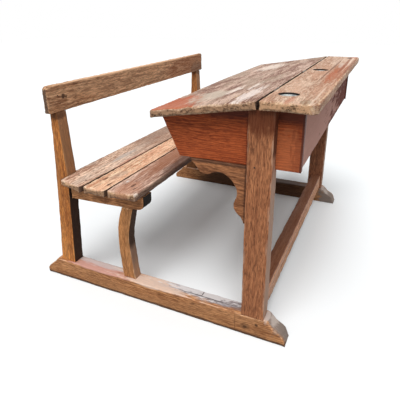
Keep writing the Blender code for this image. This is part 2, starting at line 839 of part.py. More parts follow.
def make_leaf(name, x, facing, knuckles):
    """One hinge leaf: a plate on the wood's edge whose knuckles are rolled round the pin line."""
    outer = hinge_line + facing * barrel_radius
    inner = hinge_line + facing * bore_radius
    low_y, high_y = min(outer, inner), max(outer, inner)
    ends = (x - hinge_length / 2, x + hinge_length / 2)
    top = hinge_height - barrel_radius - fit_gap
    foot = hinge_height - leaf_height
    leaf = block(name, (ends[0], low_y, foot), (ends[1], high_y, top), hinge_steel)
    for number, (start, end) in enumerate(knuckles):
        web_low = (x + start, low_y, top - overrun)
        web_high = (x + end, high_y, hinge_height)
        profile = [(0.0, start), (barrel_radius, start), (barrel_radius, end), (0.0, end)]
        barrel = turned(name + "_barrel_" + str(number), profile, [(x, hinge_line, hinge_height)],
                        hinge_steel, (1.0, 0.0, 0.0), round_sides // 2)
        unite(leaf, guide_block(name + "_web_" + str(number), web_low, web_high))
        unite(leaf, as_cutter(barrel))
    reach = hinge_length / 2 + overrun
    profile = [(0.0, -reach), (bore_radius, -reach), (bore_radius, reach), (0.0, reach)]
    bore = turned(name + "_bore", profile, [(x, hinge_line, hinge_height)], hinge_steel,
                  (1.0, 0.0, 0.0), round_sides // 2)
    cut(leaf, as_cutter(bore))
    return leaf


def make_hinges():
    """Three butt hinges: the strip's leaf has the outer knuckles, the lid's leaf the middle one."""
    third = hinge_length / 6
    outer = [(-hinge_length / 2, -third - fit_gap / 2), (third + fit_gap / 2, hinge_length / 2)]
    inner = [(-third + fit_gap / 2, third - fit_gap / 2)]
    for index in range(hinge_count):
        letter = letter_of(index)
        x = hinge_spacing * (index - (hinge_count - 1) / 2)
        make_leaf("hinge_strip_leaf_" + letter, x, 1, outer)
        make_leaf("hinge_lid_leaf_" + letter, x, -1, inner)
        half = hinge_length / 2
        profile = [(0.0, -half), (pin_radius, -half), (pin_radius, half), (0.0, half)]
        turned("hinge_pin_" + letter, profile, [(x, hinge_line, hinge_height)], hinge_steel,
               (1.0, 0.0, 0.0))


def drive_rail_nails(rail, posts):
    """Two nails at each end hold the rail to the post's tongue."""
    places = []
    for side, _ in sides:
        x = side * (back_inner + back_outer) / 2
        for across, up in rail_nail_shares:
            along = x + across * back_post_width
            places.append((along, rail_front - nail_sink, rail_bottom + rail_height * up))
    nails("rail_nail", places, (0.0, 1.0, 0.0), rail_nail_length, [rail] + posts)


def drive_post_nails(posts, panels):
    """A nail through each desk post holds the side of the book box."""
    for (side, name), post, panel in zip(sides, posts, panels):
        y = post_line + post_nail_set
        places = [(side * (post_outer - nail_sink), y, box_bottom + post_nail_height)]
        nails("post_nail_" + name, places, (side, 0.0, 0.0), post_nail_length, [post, panel])


for old in list(bpy.data.objects):
    bpy.data.objects.remove(old, do_unlink=True)

sides = [(1, "right"), (-1, "left")]
back_posts = []
desk_posts = []
box_sides = []
for side, name in sides:
    runner = make_runner(side, name)
    back_post = make_back_post(side, name)
    leg = make_leg(side, name)
    desk_post = make_desk_post(side, name)
    pegs = foot_tenon(back_post, runner, "back_post_" + name, side, back_inner, back_outer,
                      back_line, back_post_foot_depth, back_peg_shares)
    pegs += foot_tenon(leg, runner, "seat_leg_" + name, side, leg_inner, leg_outer,
                       leg_line, leg_foot_depth, leg_peg_shares)
    pegs += foot_tenon(desk_post, runner, "desk_post_" + name, side, post_inner, post_outer,
                       post_line, desk_post_depth, desk_peg_shares)
    drive_pegs(side, name, runner, [back_post, leg, desk_post], pegs)
    make_bearer(side, name, back_post, leg)
    make_bracket(side, name)
    box_sides.append(make_box_side(side, name))
    back_posts.append(back_post)
    desk_posts.append(desk_post)

drive_rail_nails(make_rail(), back_posts)
make_slats()
make_stretcher(desk_posts)
make_box_boards(box_sides)
drive_post_nails(desk_posts, box_sides)
make_strip(box_sides)
make_inkwells()
make_lid()
make_battens()
make_hinges()
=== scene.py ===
"""Two-seat school desk with its bench: the looks of every timber, the glazed ware and the iron.

Metres, +Z up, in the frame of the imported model. +X runs along the desk to the pupils' right,
+Y from the bench to the desk. The sections follow the order in which the desk is joined.
"""
import math

import bpy
import numpy as np
from mathutils import Matrix, Vector


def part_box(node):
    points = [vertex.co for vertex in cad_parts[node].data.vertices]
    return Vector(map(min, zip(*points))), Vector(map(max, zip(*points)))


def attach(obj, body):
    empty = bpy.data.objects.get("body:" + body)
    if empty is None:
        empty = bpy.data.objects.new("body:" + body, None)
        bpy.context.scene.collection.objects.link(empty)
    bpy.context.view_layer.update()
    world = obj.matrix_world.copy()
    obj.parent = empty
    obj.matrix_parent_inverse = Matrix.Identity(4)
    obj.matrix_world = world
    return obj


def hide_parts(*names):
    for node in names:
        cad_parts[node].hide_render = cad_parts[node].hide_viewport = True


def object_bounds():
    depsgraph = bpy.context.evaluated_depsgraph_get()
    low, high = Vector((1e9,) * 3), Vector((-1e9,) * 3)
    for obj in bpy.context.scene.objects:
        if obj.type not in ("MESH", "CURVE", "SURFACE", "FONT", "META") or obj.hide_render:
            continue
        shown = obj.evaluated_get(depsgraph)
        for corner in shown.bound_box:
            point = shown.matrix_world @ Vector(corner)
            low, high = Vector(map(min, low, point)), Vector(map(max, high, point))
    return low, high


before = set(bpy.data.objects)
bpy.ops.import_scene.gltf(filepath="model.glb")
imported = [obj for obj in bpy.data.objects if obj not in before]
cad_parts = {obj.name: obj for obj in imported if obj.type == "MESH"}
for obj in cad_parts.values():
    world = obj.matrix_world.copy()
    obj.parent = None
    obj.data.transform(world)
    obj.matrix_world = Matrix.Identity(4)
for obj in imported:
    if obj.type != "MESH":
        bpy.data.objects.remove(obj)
cad_low, cad_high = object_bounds()

# The studio: a pale floor that keeps the soft shadow, an even dome, and one broad lamp high behind
# the camera, a little to its left. The floor returns little light, so undersides stay dark.
image_size = 400
focal_length_px = 399.277
axis_row_px = 166
sensor_width = 36.0
camera_place = Vector((1.5370, 0.6298, 0.9659))
camera_yaw = math.radians(204.9504)
camera_pitch = math.radians(-21.0266)
camera_roll = math.radians(-0.4567)
floor_half = 12.0
white = (1.0, 1.0, 1.0, 1.0)
floor_lit = (0.22, 0.21, 0.20, 1.0)
floor_seen = (0.925, 0.95, 0.962, 1.0)
dome_strength = 0.42
lamp_strength = 2.7
lamp_spread = math.radians(38.0)
lamp_from = Vector((0.55, 0.10, 1.0))

view_line = Vector((math.cos(camera_yaw) * math.cos(camera_pitch),
                    math.sin(camera_yaw) * math.cos(camera_pitch), math.sin(camera_pitch)))
level_right = view_line.cross(Vector((0.0, 0.0, 1.0))).normalized()
level_up = level_right.cross(view_line)
camera_right = level_right * math.cos(camera_roll) + level_up * math.sin(camera_roll)
camera_up = level_up * math.cos(camera_roll) - level_right * math.sin(camera_roll)
lens = bpy.data.cameras.new("camera")
lens.sensor_width = sensor_width
lens.lens = sensor_width * focal_length_px / image_size
lens.shift_y = (axis_row_px - image_size / 2) / image_size
lens.clip_end = 4 * floor_half
camera = bpy.data.objects.new("camera", lens)
camera.matrix_world = Matrix.Translation(camera_place) @ Matrix(
    (camera_right, camera_up, -view_line)).transposed().to_4x4()
bpy.context.scene.collection.objects.link(camera)
bpy.context.scene.camera = camera
bpy.context.scene.view_settings.view_transform = "Standard"


def feed(tree, node, feeds):
    """Give a node its inputs: a socket is linked, a value is set."""
    for key, value in dict(feeds).items():
        if isinstance(value, bpy.types.NodeSocket):
            tree.links.new(value, node.inputs[key])
        else:
            node.inputs[key].default_value = value


def add(tree, kind, feeds=(), **settings):
    """Add one shader node: settings are its properties, feeds its inputs."""
    made = tree.nodes.new("ShaderNode" + kind)
    for key, value in settings.items():
        setattr(made, key, value)
    feed(tree, made, feeds)
    return made


def maths(tree, operation, *values):
    """The result of one operation on numbers or sockets."""
    return add(tree, "Math", enumerate(values), operation=operation).outputs[0]


def seen_directly(tree):
    """1 for rays from the camera, a mirror or glass, 0 for the rays that carry light."""
    path = add(tree, "LightPath").outputs
    mirrored = maths(tree, "MAXIMUM", path["Is Glossy Ray"], path["Is Transmission Ray"])
    return maths(tree, "MAXIMUM", path["Is Camera Ray"], mirrored)


dome = bpy.data.worlds.new("dome")
dome.use_nodes = True
bpy.context.scene.world = dome
dome_tree = dome.node_tree
dome_tree.nodes.clear()
dome_light = add(dome_tree, "Background", {0: white, 1: dome_strength})
dome_seen = add(dome_tree, "Background", {0: white, 1: 1.0})
dome_mix = add(dome_tree, "MixShader", {0: seen_directly(dome_tree), 1: dome_light.outputs[0],
                                        2: dome_seen.outputs[0]})
add(dome_tree, "OutputWorld", {0: dome_mix.outputs[0]})

lamp = bpy.data.lights.new("broad_lamp", "SUN")
lamp.energy = lamp_strength
lamp.angle = lamp_spread
lamp_object = bpy.data.objects.new("broad_lamp", lamp)
lamp_object.rotation_euler = lamp_from.to_track_quat("Z", "Y").to_euler()
bpy.context.scene.collection.objects.link(lamp_object)

floor_mesh = bpy.data.meshes.new("floor")
floor_corners = [(floor_half * x, floor_half * y, 0.0) for x, y in ((-1, -1), (1, -1), (1, 1), (-1, 1))]
floor_mesh.from_pydata(floor_corners, [], [(0, 1, 2, 3)])
floor = bpy.data.objects.new("floor", floor_mesh)
bpy.context.scene.collection.objects.link(floor)
floor_paint = bpy.data.materials.new("floor_paint")
floor_paint.use_nodes = True
floor_tree = floor_paint.node_tree
floor_tree.nodes.clear()
floor_colour = add(floor_tree, "Mix", {0: seen_directly(floor_tree), 6: floor_lit, 7: floor_seen},
                   data_type="RGBA").outputs[2]
floor_matt = add(floor_tree, "BsdfDiffuse", {0: floor_colour})
add(floor_tree, "OutputMaterial", {0: floor_matt.outputs[0]})
floor_mesh.materials.append(floor_paint)


# Floor runners: two long oak feet, each sawn with a cyma toe and a rounded heel. Years of shoes
# have hollowed the tops, worn their paint through to bare wood and rounded every arris. Each is
# stained and scuffed at the toe, knotty on its outer side and darker along the floor. The left
# runner carries painted shade under the desk.
runner_heel = 0.0591
runner_toe = 0.069
heel_shares = [(0.105, 0.0), (0.0, 0.215), (0.255, 0.47), (0.668, 0.738), (0.917, 0.953), (1.0, 1.0)]
toe_shares = [(1.0, 1.0), (0.81, 0.906), (0.69, 0.746), (0.478, 0.61), (0.26, 0.503), (0.116, 0.329),
              (0.05, 0.134), (0.0, 0.0)]


def curve_through(points, steps=6):
    """Catmull-Rom curve: between two points each coordinate is a cubic of the share passed."""
    points = np.asarray(points, float)
    last = len(points) - 1
    along = np.linspace(0.0, last, last * steps + 1)
    index = np.minimum(along.astype(int), last - 1)
    share = (along - index)[:, None]
    before, start, end, after = (points[np.clip(index + shift, 0, last)] for shift in (-1, 0, 1, 2))
    return 0.5 * (2 * start + (end - before) * share
                  + (2 * before - 5 * start + 4 * end - after) * share ** 2
                  + (3 * start - before - 3 * end + after) * share ** 3)


def outline_of(runs, eases, spacing=0.012):
    """Close runs of (u, v) points into one outline, with the corner after run k eased over eases[k].

    A run is divided by its length, with closer points beside the corners. A corner is a parabola
    between the two ends of its ease. The third column is 1 on corners and falls to 0 over 5 mm;
    the fourth is the room for an inset, 0.55 of the ease at a corner, growing with the distance.
    """
    corner_reach = 0.005
    room_share = 0.55
    straight = []
    for index, run in enumerate(runs):
        run = np.asarray(run, float)
        passed = np.append(0.0, np.cumsum(np.hypot(*np.diff(run, axis=0).T)))
        start, end = eases[index - 1], passed[-1] - eases[index]
        gap = min(corner_reach, (end - start) / 4)
        middle = np.linspace(start + gap, end - gap, max(2, int((end - start) / spacing)))
        at = np.concatenate([[start, start + gap / 2], middle, [end - gap / 2, end]])
        edge = 1.0 - np.clip(np.minimum(at - start, end - at) / corner_reach, 0.0, 1.0)
        room = room_share * np.minimum(eases[index - 1] + at - start, eases[index] + end - at)
        straight.append(np.stack([np.interp(at, passed, run[:, 0]), np.interp(at, passed, run[:, 1]),
                                  edge, room], 1))
    pieces = []
    share = np.linspace(0.0, 1.0, 7)[1:-1, None]
    for index, run in enumerate(straight):
        corner = np.append(np.asarray(runs[index], float)[-1], [1.0, room_share * eases[index]])
        following = straight[(index + 1) % len(runs)][0]
        arc = run[-1] * (1 - share) ** 2 + corner * 2 * share * (1 - share) + following * share ** 2
        pieces += [run, arc]
    return np.concatenate(pieces)


def drift(points, wavelength, seed):
    """Uneven field of about -1 to 1: twelve sine waves of like length in chance directions."""
    chance = np.random.default_rng(seed)
    waves = chance.normal(size=(12, 3)) * 2 * math.pi / np.asarray(wavelength)
    phases = chance.uniform(0.0, 2 * math.pi, 12)
    return np.sin(points @ waves.T + phases).sum(-1) / math.sqrt(12)


def skin(name, grid, places=((0.0, 0.0, 0.0),), **marks):
    """Mesh of a closed tube of rings with a flat face at each end, its faces turned outwards.

    The tube is repeated at each place. Each mark is one number for every point of the grid, kept in
    the mesh under its name.
    """
    rings, around = grid.shape[:2]
    index = np.arange(rings * around).reshape(rings, around)
    beside = np.roll(index, -1, axis=1)
    quads = np.stack([index[:-1], beside[:-1], beside[1:], index[1:]], -1).reshape(-1, 4)
    points = grid.reshape(-1, 3)
    centred = points - points.mean(0)
    a, b, c, d = (centred[quads[:, side]] for side in range(4))
    volume = (np.cross(a, b) * c).sum() + (np.cross(a, c) * d).sum()
    ends = [index[0][::-1], index[-1]]
    if volume < 0:
        quads = quads[:, ::-1]
        ends = [end[::-1] for end in ends]
    places = np.asarray(places, float)
    shifts = np.arange(len(places))[:, None, None] * len(points)
    faces = (quads[None] + shifts).reshape(-1, 4).tolist()
    faces += (np.stack(ends)[None] + shifts).reshape(-1, around).tolist()
    mesh = bpy.data.meshes.new(name)
    mesh.from_pydata((points[None] + places[:, None]).reshape(-1, 3).tolist(), [], faces)
    mesh.shade_smooth()
    for label, values in marks.items():
        kept = np.tile(np.broadcast_to(values, (rings, around)).ravel(), len(places)).astype(np.float32)
        mesh.attributes.new(label, "FLOAT", "POINT").data.foreach_set("value", kept)
    piece = bpy.data.objects.new(name, mesh)
    bpy.context.scene.collection.objects.link(piece)
    return piece


def spread(low, high, count):
    """Stations between two ends, closer beside the ends: t - 0.08 sin(2 pi t) of the way."""
    share = np.linspace(0.0, 1.0, count + 2)[1:-1]
    return low + (high - low) * (share - 0.08 * np.sin(2 * math.pi * share))


def sawn(name, outline, low, high, arris=0.0025, axes="xyz", stations=3, dent=0.0008, bend=None, joint=0):
    """A timber sawn to one outline and carried along its first axis from low to high.

    Towards each end the outline draws in by r(1 - sin a) while the ring moves out to r(1 - cos a),
    so the arris is a quarter round whose radius r drifts along the outline. Worn places then sink
    against that round's normal by dent times an uneven field. A side that is jointed to another
    board (joint is its sign) only grows thinner towards the ends.
    """
    flat, edge, room = outline[:, :2], outline[:, 2], outline[:, 3]
    tangent = np.roll(flat, -1, axis=0) - np.roll(flat, 1, axis=0)
    tangent /= np.hypot(*tangent.T)[:, None]
    normal = np.stack([tangent[:, 1], -tangent[:, 0]], 1)
    area = (flat[:, 0] * np.roll(flat[:, 1], -1) - np.roll(flat[:, 0], -1) * flat[:, 1]).sum()
    normal *= math.copysign(1.0, area)

    wave_length = 0.05
    seed = sum(ord(letter) * (place + 1) for place, letter in enumerate(name))
    places = np.column_stack([flat, np.zeros(len(flat))])
    radius = arris * (1.0 + 0.3 * drift(places, 2 * wave_length, seed).clip(-1.5, 1.5))
    beside_joint = joint * flat[:, 0] > (joint * flat[:, 0]).max() - 4 * arris if joint else room < 0
    radius = np.where(beside_joint, arris, np.minimum(radius, room / 1.3))
    inset_line = normal.copy()
    if joint:
        facing = beside_joint & (joint * normal[:, 0] > 0.02)
        height = flat[facing, 1]
        inset_line[facing] = np.stack([0 * height, 2 * (height - height.min()) / np.ptp(height) - 1], 1)

    # Eight rings at each end: two on the end's face, five round the arris and one behind it.
    end_length = 2.4 * arris
    turn = np.linspace(0.0, math.pi / 2, 5)
    inward = np.concatenate([[1.3, 1.1], 1 - np.sin(turn), [0.0]])[:, None] * radius
    moved = np.concatenate([[0.0, 0.0], 1 - np.cos(turn), [1.0]])[:, None] * radius
    moved[-1] = end_length
    tilt = np.concatenate([[1.0, 1.0], np.cos(turn), [0.0]])[:, None]
    rim = np.array([0.0, 0.0, 1.0, 1.0, 1.0, 1.0, 0.6, 0.0])[:, None]
    end_grain = np.array([1.0, 1.0, 0.9, 0.6, 0.25, 0.0, 0.0, 0.0])[:, None]
    if np.isscalar(stations):
        stations = spread(low + end_length, high - end_length, stations)
    middle = np.repeat(np.asarray(stations)[:, None], len(flat), 1)
    across = np.concatenate([low + moved, middle, high - moved[::-1]])
    inset = np.concatenate([inward, 0 * middle, inward[::-1]])
    leaning = np.concatenate([-tilt, 0 * middle[:, :1], tilt[::-1]])
    worn = np.concatenate([rim + 0 * radius, 0 * middle, rim[::-1] + 0 * radius])
    worn[2:-2] = np.maximum(worn[2:-2], edge[None])
    end_grain = np.concatenate([end_grain, 0 * middle[:, :1], end_grain[::-1]])

    place = flat[None] - inset_line[None] * inset[..., None]
    upright = np.sqrt(1 - leaning ** 2)[..., None] * normal[None]
    order = [axes.index(letter) for letter in "xyz"]
    grid = np.stack([across, place[..., 0], place[..., 1]], -1)[..., order]
    out = np.stack([leaning + 0 * across, upright[..., 0], upright[..., 1]], -1)[..., order]
    wave = 0.5 + 0.35 * drift(grid, wave_length, seed + 1) + 0.35 * drift(grid, wave_length / 3, seed + 2)
    depth = dent * wave.clip(0.0, 1.5) * (0.15 + 0.85 * worn)
    depth[[0, 1, -2, -1]] = 0.0
    grid = grid - out * depth[..., None]
    if bend:
        grid = bend(grid)
    return skin(name, grid, worn=worn, sawn_end=end_grain, forward=out[..., 1], upward=out[..., 2])


def paint(red, green, blue):
    """A colour written as it looks on a screen, 0 to 255, in the linear light that shaders use."""
    screen = np.array([red, green, blue]) / 255.0
    linear = np.where(screen <= 0.04045, screen / 12.92, ((screen + 0.055) / 1.055) ** 2.4)
    return (*linear.tolist(), 1.0)


def vectors(tree, operation, *values):
    """The result of one operation on vectors or their sockets."""
    return add(tree, "VectorMath", enumerate(values), operation=operation).outputs[0]


def length(tree, vector):
    """The length of a vector."""
    return add(tree, "VectorMath", {0: vector}, operation="LENGTH").outputs["Value"]


def stretched(tree, position, scale, detail=3.0, rough=0.6):
    """Noise whose grains are 1 / scale long along each axis of the position."""
    moved = vectors(tree, "MULTIPLY", position, scale)
    return add(tree, "TexNoise", {"Vector": moved, "Scale": 1.0, "Detail": detail,
                                  "Roughness": rough}).outputs


def rise(tree, value, low, high, start=0.0, end=1.0):
    """Smooth step of a value: start where it is low, end where it is high."""
    return add(tree, "MapRange", {0: value, 1: low, 2: high, 3: start, 4: end},
               interpolation_type="SMOOTHSTEP").outputs[0]


def mixed(tree, share, first, second):
    """A colour on the way from the first to the second."""
    return add(tree, "Mix", {0: share, 6: first, 7: second}, data_type="RGBA").outputs[2]


def new_group(name, inputs, outputs):
    """An empty shader group: each input is named with its 1, 3 or 4 numbers, each output with its kind."""
    group = bpy.data.node_groups.new(name, "ShaderNodeTree")
    kinds = {1: "Float", 3: "Vector", 4: "Color"}
    for label, value in inputs.items():
        made = group.interface.new_socket(label, in_out="INPUT",
                                          socket_type="NodeSocket" + kinds[np.size(value)])
        made.default_value = value
    for label, kind in outputs.items():
        group.interface.new_socket(label, in_out="OUTPUT", socket_type="NodeSocket" + kind)
    return group, group.nodes.new("NodeGroupInput").outputs, group.nodes.new("NodeGroupOutput")


def make_timber_group():
    """Sawn wood with its grain along X: year rings about a heart line, streaks, stains and pores.

    Year rings are bands of the distance from the heart line, drawn long by a small share of X.
    Rings, Streaks and Stains weigh their shares of the tone, which goes from Light to Dark; Tint
    is a third colour that lies in long patches, and Deep is the colour of the pores.
    """
    group, given, out = new_group("timber", {
        "Position": (0, 0, 0), "Chance": 0.0, "Light": white, "Dark": (0, 0, 0, 1),
        "Tint": (0.5, 0.5, 0.5, 1), "Tinted": 0.5, "Deep": (0, 0, 0, 1), "Ring": 0.006,
        "Heart": (0, 0, 0), "Wander": 0.01, "Rings": 0.5, "Streaks": 0.5, "Stains": 0.5, "Pits": 0.5},
        {"Color": "Color", "Height": "Float", "Figure": "Float"})
    slide = add(group, "CombineXYZ", {0: given["Chance"]}).outputs[0]
    place = vectors(group, "ADD", given["Position"], slide)
    bend = vectors(group, "SUBTRACT", stretched(group, place, (3.0, 14.0, 14.0))["Color"], (0.5, 0.5, 0.5))
    bend = add(group, "VectorMath", {0: bend, "Scale": given["Wander"]}, operation="SCALE").outputs[0]
    bent = vectors(group, "ADD", given["Position"], bend)
    offset = vectors(group, "SUBTRACT", bent, given["Heart"])
    reach = length(group, vectors(group, "MULTIPLY", offset, (0.045, 1.0, 1.0)))
    year = maths(group, "FRACT", maths(group, "DIVIDE", reach, given["Ring"]))
    late = maths(group, "MULTIPLY", rise(group, year, 0.1, 0.8), rise(group, year, 1.0, 0.88))
    grain = vectors(group, "ADD", bent, slide)
    streak = stretched(group, grain, (9.0, 150.0, 150.0), detail=4.0, rough=0.75)["Fac"]
    broad = stretched(group, grain, (5.0, 26.0, 26.0), detail=4.0)["Fac"]
    patch = stretched(group, grain, (3.1, 19.0, 19.0), rough=0.62)["Fac"]
    fibre = stretched(group, grain, (34.0, 300.0, 300.0), rough=0.7)["Fac"]
    speck = stretched(group, grain, (50.0, 400.0, 400.0))["Fac"]
    pores = maths(group, "MULTIPLY", rise(group, speck, 0.47, 0.66), given["Pits"])
    tone = maths(group, "MULTIPLY", maths(group, "SUBTRACT", late, 0.4), given["Rings"])
    for wave, share in ((streak, given["Streaks"]), (broad, given["Stains"]), (fibre, 1.0)):
        wave = maths(group, "MULTIPLY", maths(group, "SUBTRACT", wave, 0.5), 3.2)
        tone = maths(group, "ADD", tone, maths(group, "MULTIPLY", wave, share))
    tone = add(group, "Clamp", {0: maths(group, "ADD", tone, 0.5)}).outputs[0]
    tinted = maths(group, "MULTIPLY", rise(group, patch, 0.44, 0.60), given["Tinted"])
    colour = mixed(group, tone, given["Light"], given["Dark"])
    colour = mixed(group, tinted, colour, given["Tint"])
    colour = mixed(group, pores, colour, given["Deep"])
    height = maths(group, "MULTIPLY", fibre, 0.6)
    height = maths(group, "SUBTRACT", height, maths(group, "MULTIPLY", pores, 0.8))
    height = maths(group, "SUBTRACT", height, maths(group, "MULTIPLY", late, 0.25))
    feed(group, out, {"Color": colour, "Height": height, "Figure": tone})
    return group


def make_blot_group():
    """Mask of one stain or worn place: 1 at its centre, 0 past its reach, with a ragged edge."""
    group, given, out = new_group("blot", {
        "Position": (0, 0, 0), "Centre": (0, 0, 0), "Reach": (1, 1, 1), "Ragged": 0.5,
        "Grains": (30, 30, 30), "Strength": 1.0}, {"Mask": "Float"})
    offset = vectors(group, "SUBTRACT", given["Position"], given["Centre"])
    near = maths(group, "SUBTRACT", 1.0, length(group, vectors(group, "DIVIDE", offset, given["Reach"])))
    grains = stretched(group, given["Position"], given["Grains"], detail=4.0, rough=0.65)["Fac"]
    grains = maths(group, "MULTIPLY", maths(group, "SUBTRACT", grains, 0.5), given["Ragged"])
    mask = rise(group, maths(group, "ADD", near, grains), 0.0, 0.35)
    feed(group, out, {"Mask": maths(group, "MULTIPLY", mask, given["Strength"])})
    return group


timber_group = make_timber_group()
blot_group = make_blot_group()
along_turns = {"x": (0.0, 0.0, 0.0), "y": (0.0, 0.0, -math.pi / 2), "z": (0.0, math.pi / 2, 0.0)}


def new_finish(name):
    """A material, its tree, its shader and the piece's own coordinates."""
    made = bpy.data.materials.new(name)
    made.use_nodes = True
    tree = made.node_tree
    return made, tree, tree.nodes["Principled BSDF"], add(tree, "TexCoord").outputs["Object"]


def mark(tree, label):
    """A number that the mesh keeps at each of its points."""
    return add(tree, "Attribute", attribute_name=label).outputs["Fac"]


def timber(name, along, light, dark, tint, deep, tinted=0.5, ring=0.008, heart=(0.0, 0.0, 0.0),
           wander=0.02, rings=0.35, streaks=0.6, stains=0.5, pits=0.5, arris=None, end=None, blots=(),
           side=1, rough=0.55, shine=0.16, chance=0.0):
    """The finish of one timber: grain along an axis, then end grain, pale arrises, and its blots.

    Heart is a point on the heart line of the year rings, and end is the two colours of end grain.
    A blot is colour, centre, reach, ragged, grains and strength, and may add the faces that it
    keeps to: front (towards +Y), edges (towards +Y and -Y), top (that look up) or under (that look
    down). Heart and centre are in the desk's own metres, with X times side.
    """
    x, y, z = side * heart[0], heart[1], heart[2]
    turned_heart = {"x": (x, y, z), "y": (y, -x, z), "z": (z, y, -x)}[along]
    made, tree, shader, place = new_finish(name)
    turned = add(tree, "Mapping", {0: place, 2: along_turns[along]}).outputs[0]
    wood = add(tree, "Group", {
        "Position": turned, "Chance": chance * side, "Light": paint(*light), "Dark": paint(*dark),
        "Tint": paint(*tint), "Tinted": tinted, "Deep": paint(*deep), "Ring": ring,
        "Heart": turned_heart, "Wander": wander, "Rings": rings, "Streaks": streaks,
        "Stains": stains, "Pits": pits}, node_tree=timber_group).outputs
    colour = wood["Color"]
    height = wood["Height"]
    roughness = maths(tree, "ADD", rough, maths(tree, "MULTIPLY", wood["Figure"], 0.12))
    if end:
        cut = mark(tree, "sawn_end")
        rotten = rise(tree, stretched(tree, place, (24.0, 24.0, 60.0), detail=2.0)["Fac"], 0.40, 0.58, 0.25)
        pitted = stretched(tree, place, (150.0, 150.0, 150.0), detail=5.0, rough=0.75)["Fac"]
        pitted = maths(tree, "MULTIPLY", rise(tree, pitted, 0.42, 0.60), rotten)
        colour = mixed(tree, cut, colour, mixed(tree, pitted, paint(*end[0]), paint(*end[1])))
        sunk = maths(tree, "MULTIPLY", cut, maths(tree, "MULTIPLY", pitted, 0.5))
        height = maths(tree, "SUBTRACT", height, sunk)
    if arris:
        chips = stretched(tree, turned, (22.0, 120.0, 120.0))["Fac"]
        edge = maths(tree, "MULTIPLY", mark(tree, "worn"), rise(tree, chips, 0.46, 0.66, 0.0, 0.85))
        colour = mixed(tree, edge, colour, paint(*arris))
    forward = mark(tree, "forward")
    upward = mark(tree, "upward")
    faces = {"front": rise(tree, forward, 0.45, 0.75),
             "edges": rise(tree, maths(tree, "ABSOLUTE", forward), 0.20, 0.50),
             "top": rise(tree, upward, 0.30, 0.70), "under": rise(tree, upward, -0.30, -0.70)}
    for stain, (x, y, z), reach, ragged, grains, strength, *kept_to in blots:
        share = add(tree, "Group", {"Position": place, "Centre": (side * x, y, z), "Reach": reach,
                                    "Ragged": ragged, "Grains": grains, "Strength": strength},
                    node_tree=blot_group).outputs[0]
        for face in kept_to:
            share = maths(tree, "MULTIPLY", share, faces[face])
        colour = mixed(tree, share, colour, paint(*stain))
    relief = add(tree, "Bump", {"Strength": 0.4, "Distance": 0.0012, "Height": height})
    feed(tree, shader, {"Base Color": colour, "Roughness": roughness, "Normal": relief.outputs["Normal"],
                        "Specular IOR Level": shine})
    return made


def fit(piece, material, body, slot, *nodes):
    """Give a piece its finish and its body, and let it stand for its nodes."""
    piece.data.materials.append(material)
    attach(piece, body)
    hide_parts(*nodes)


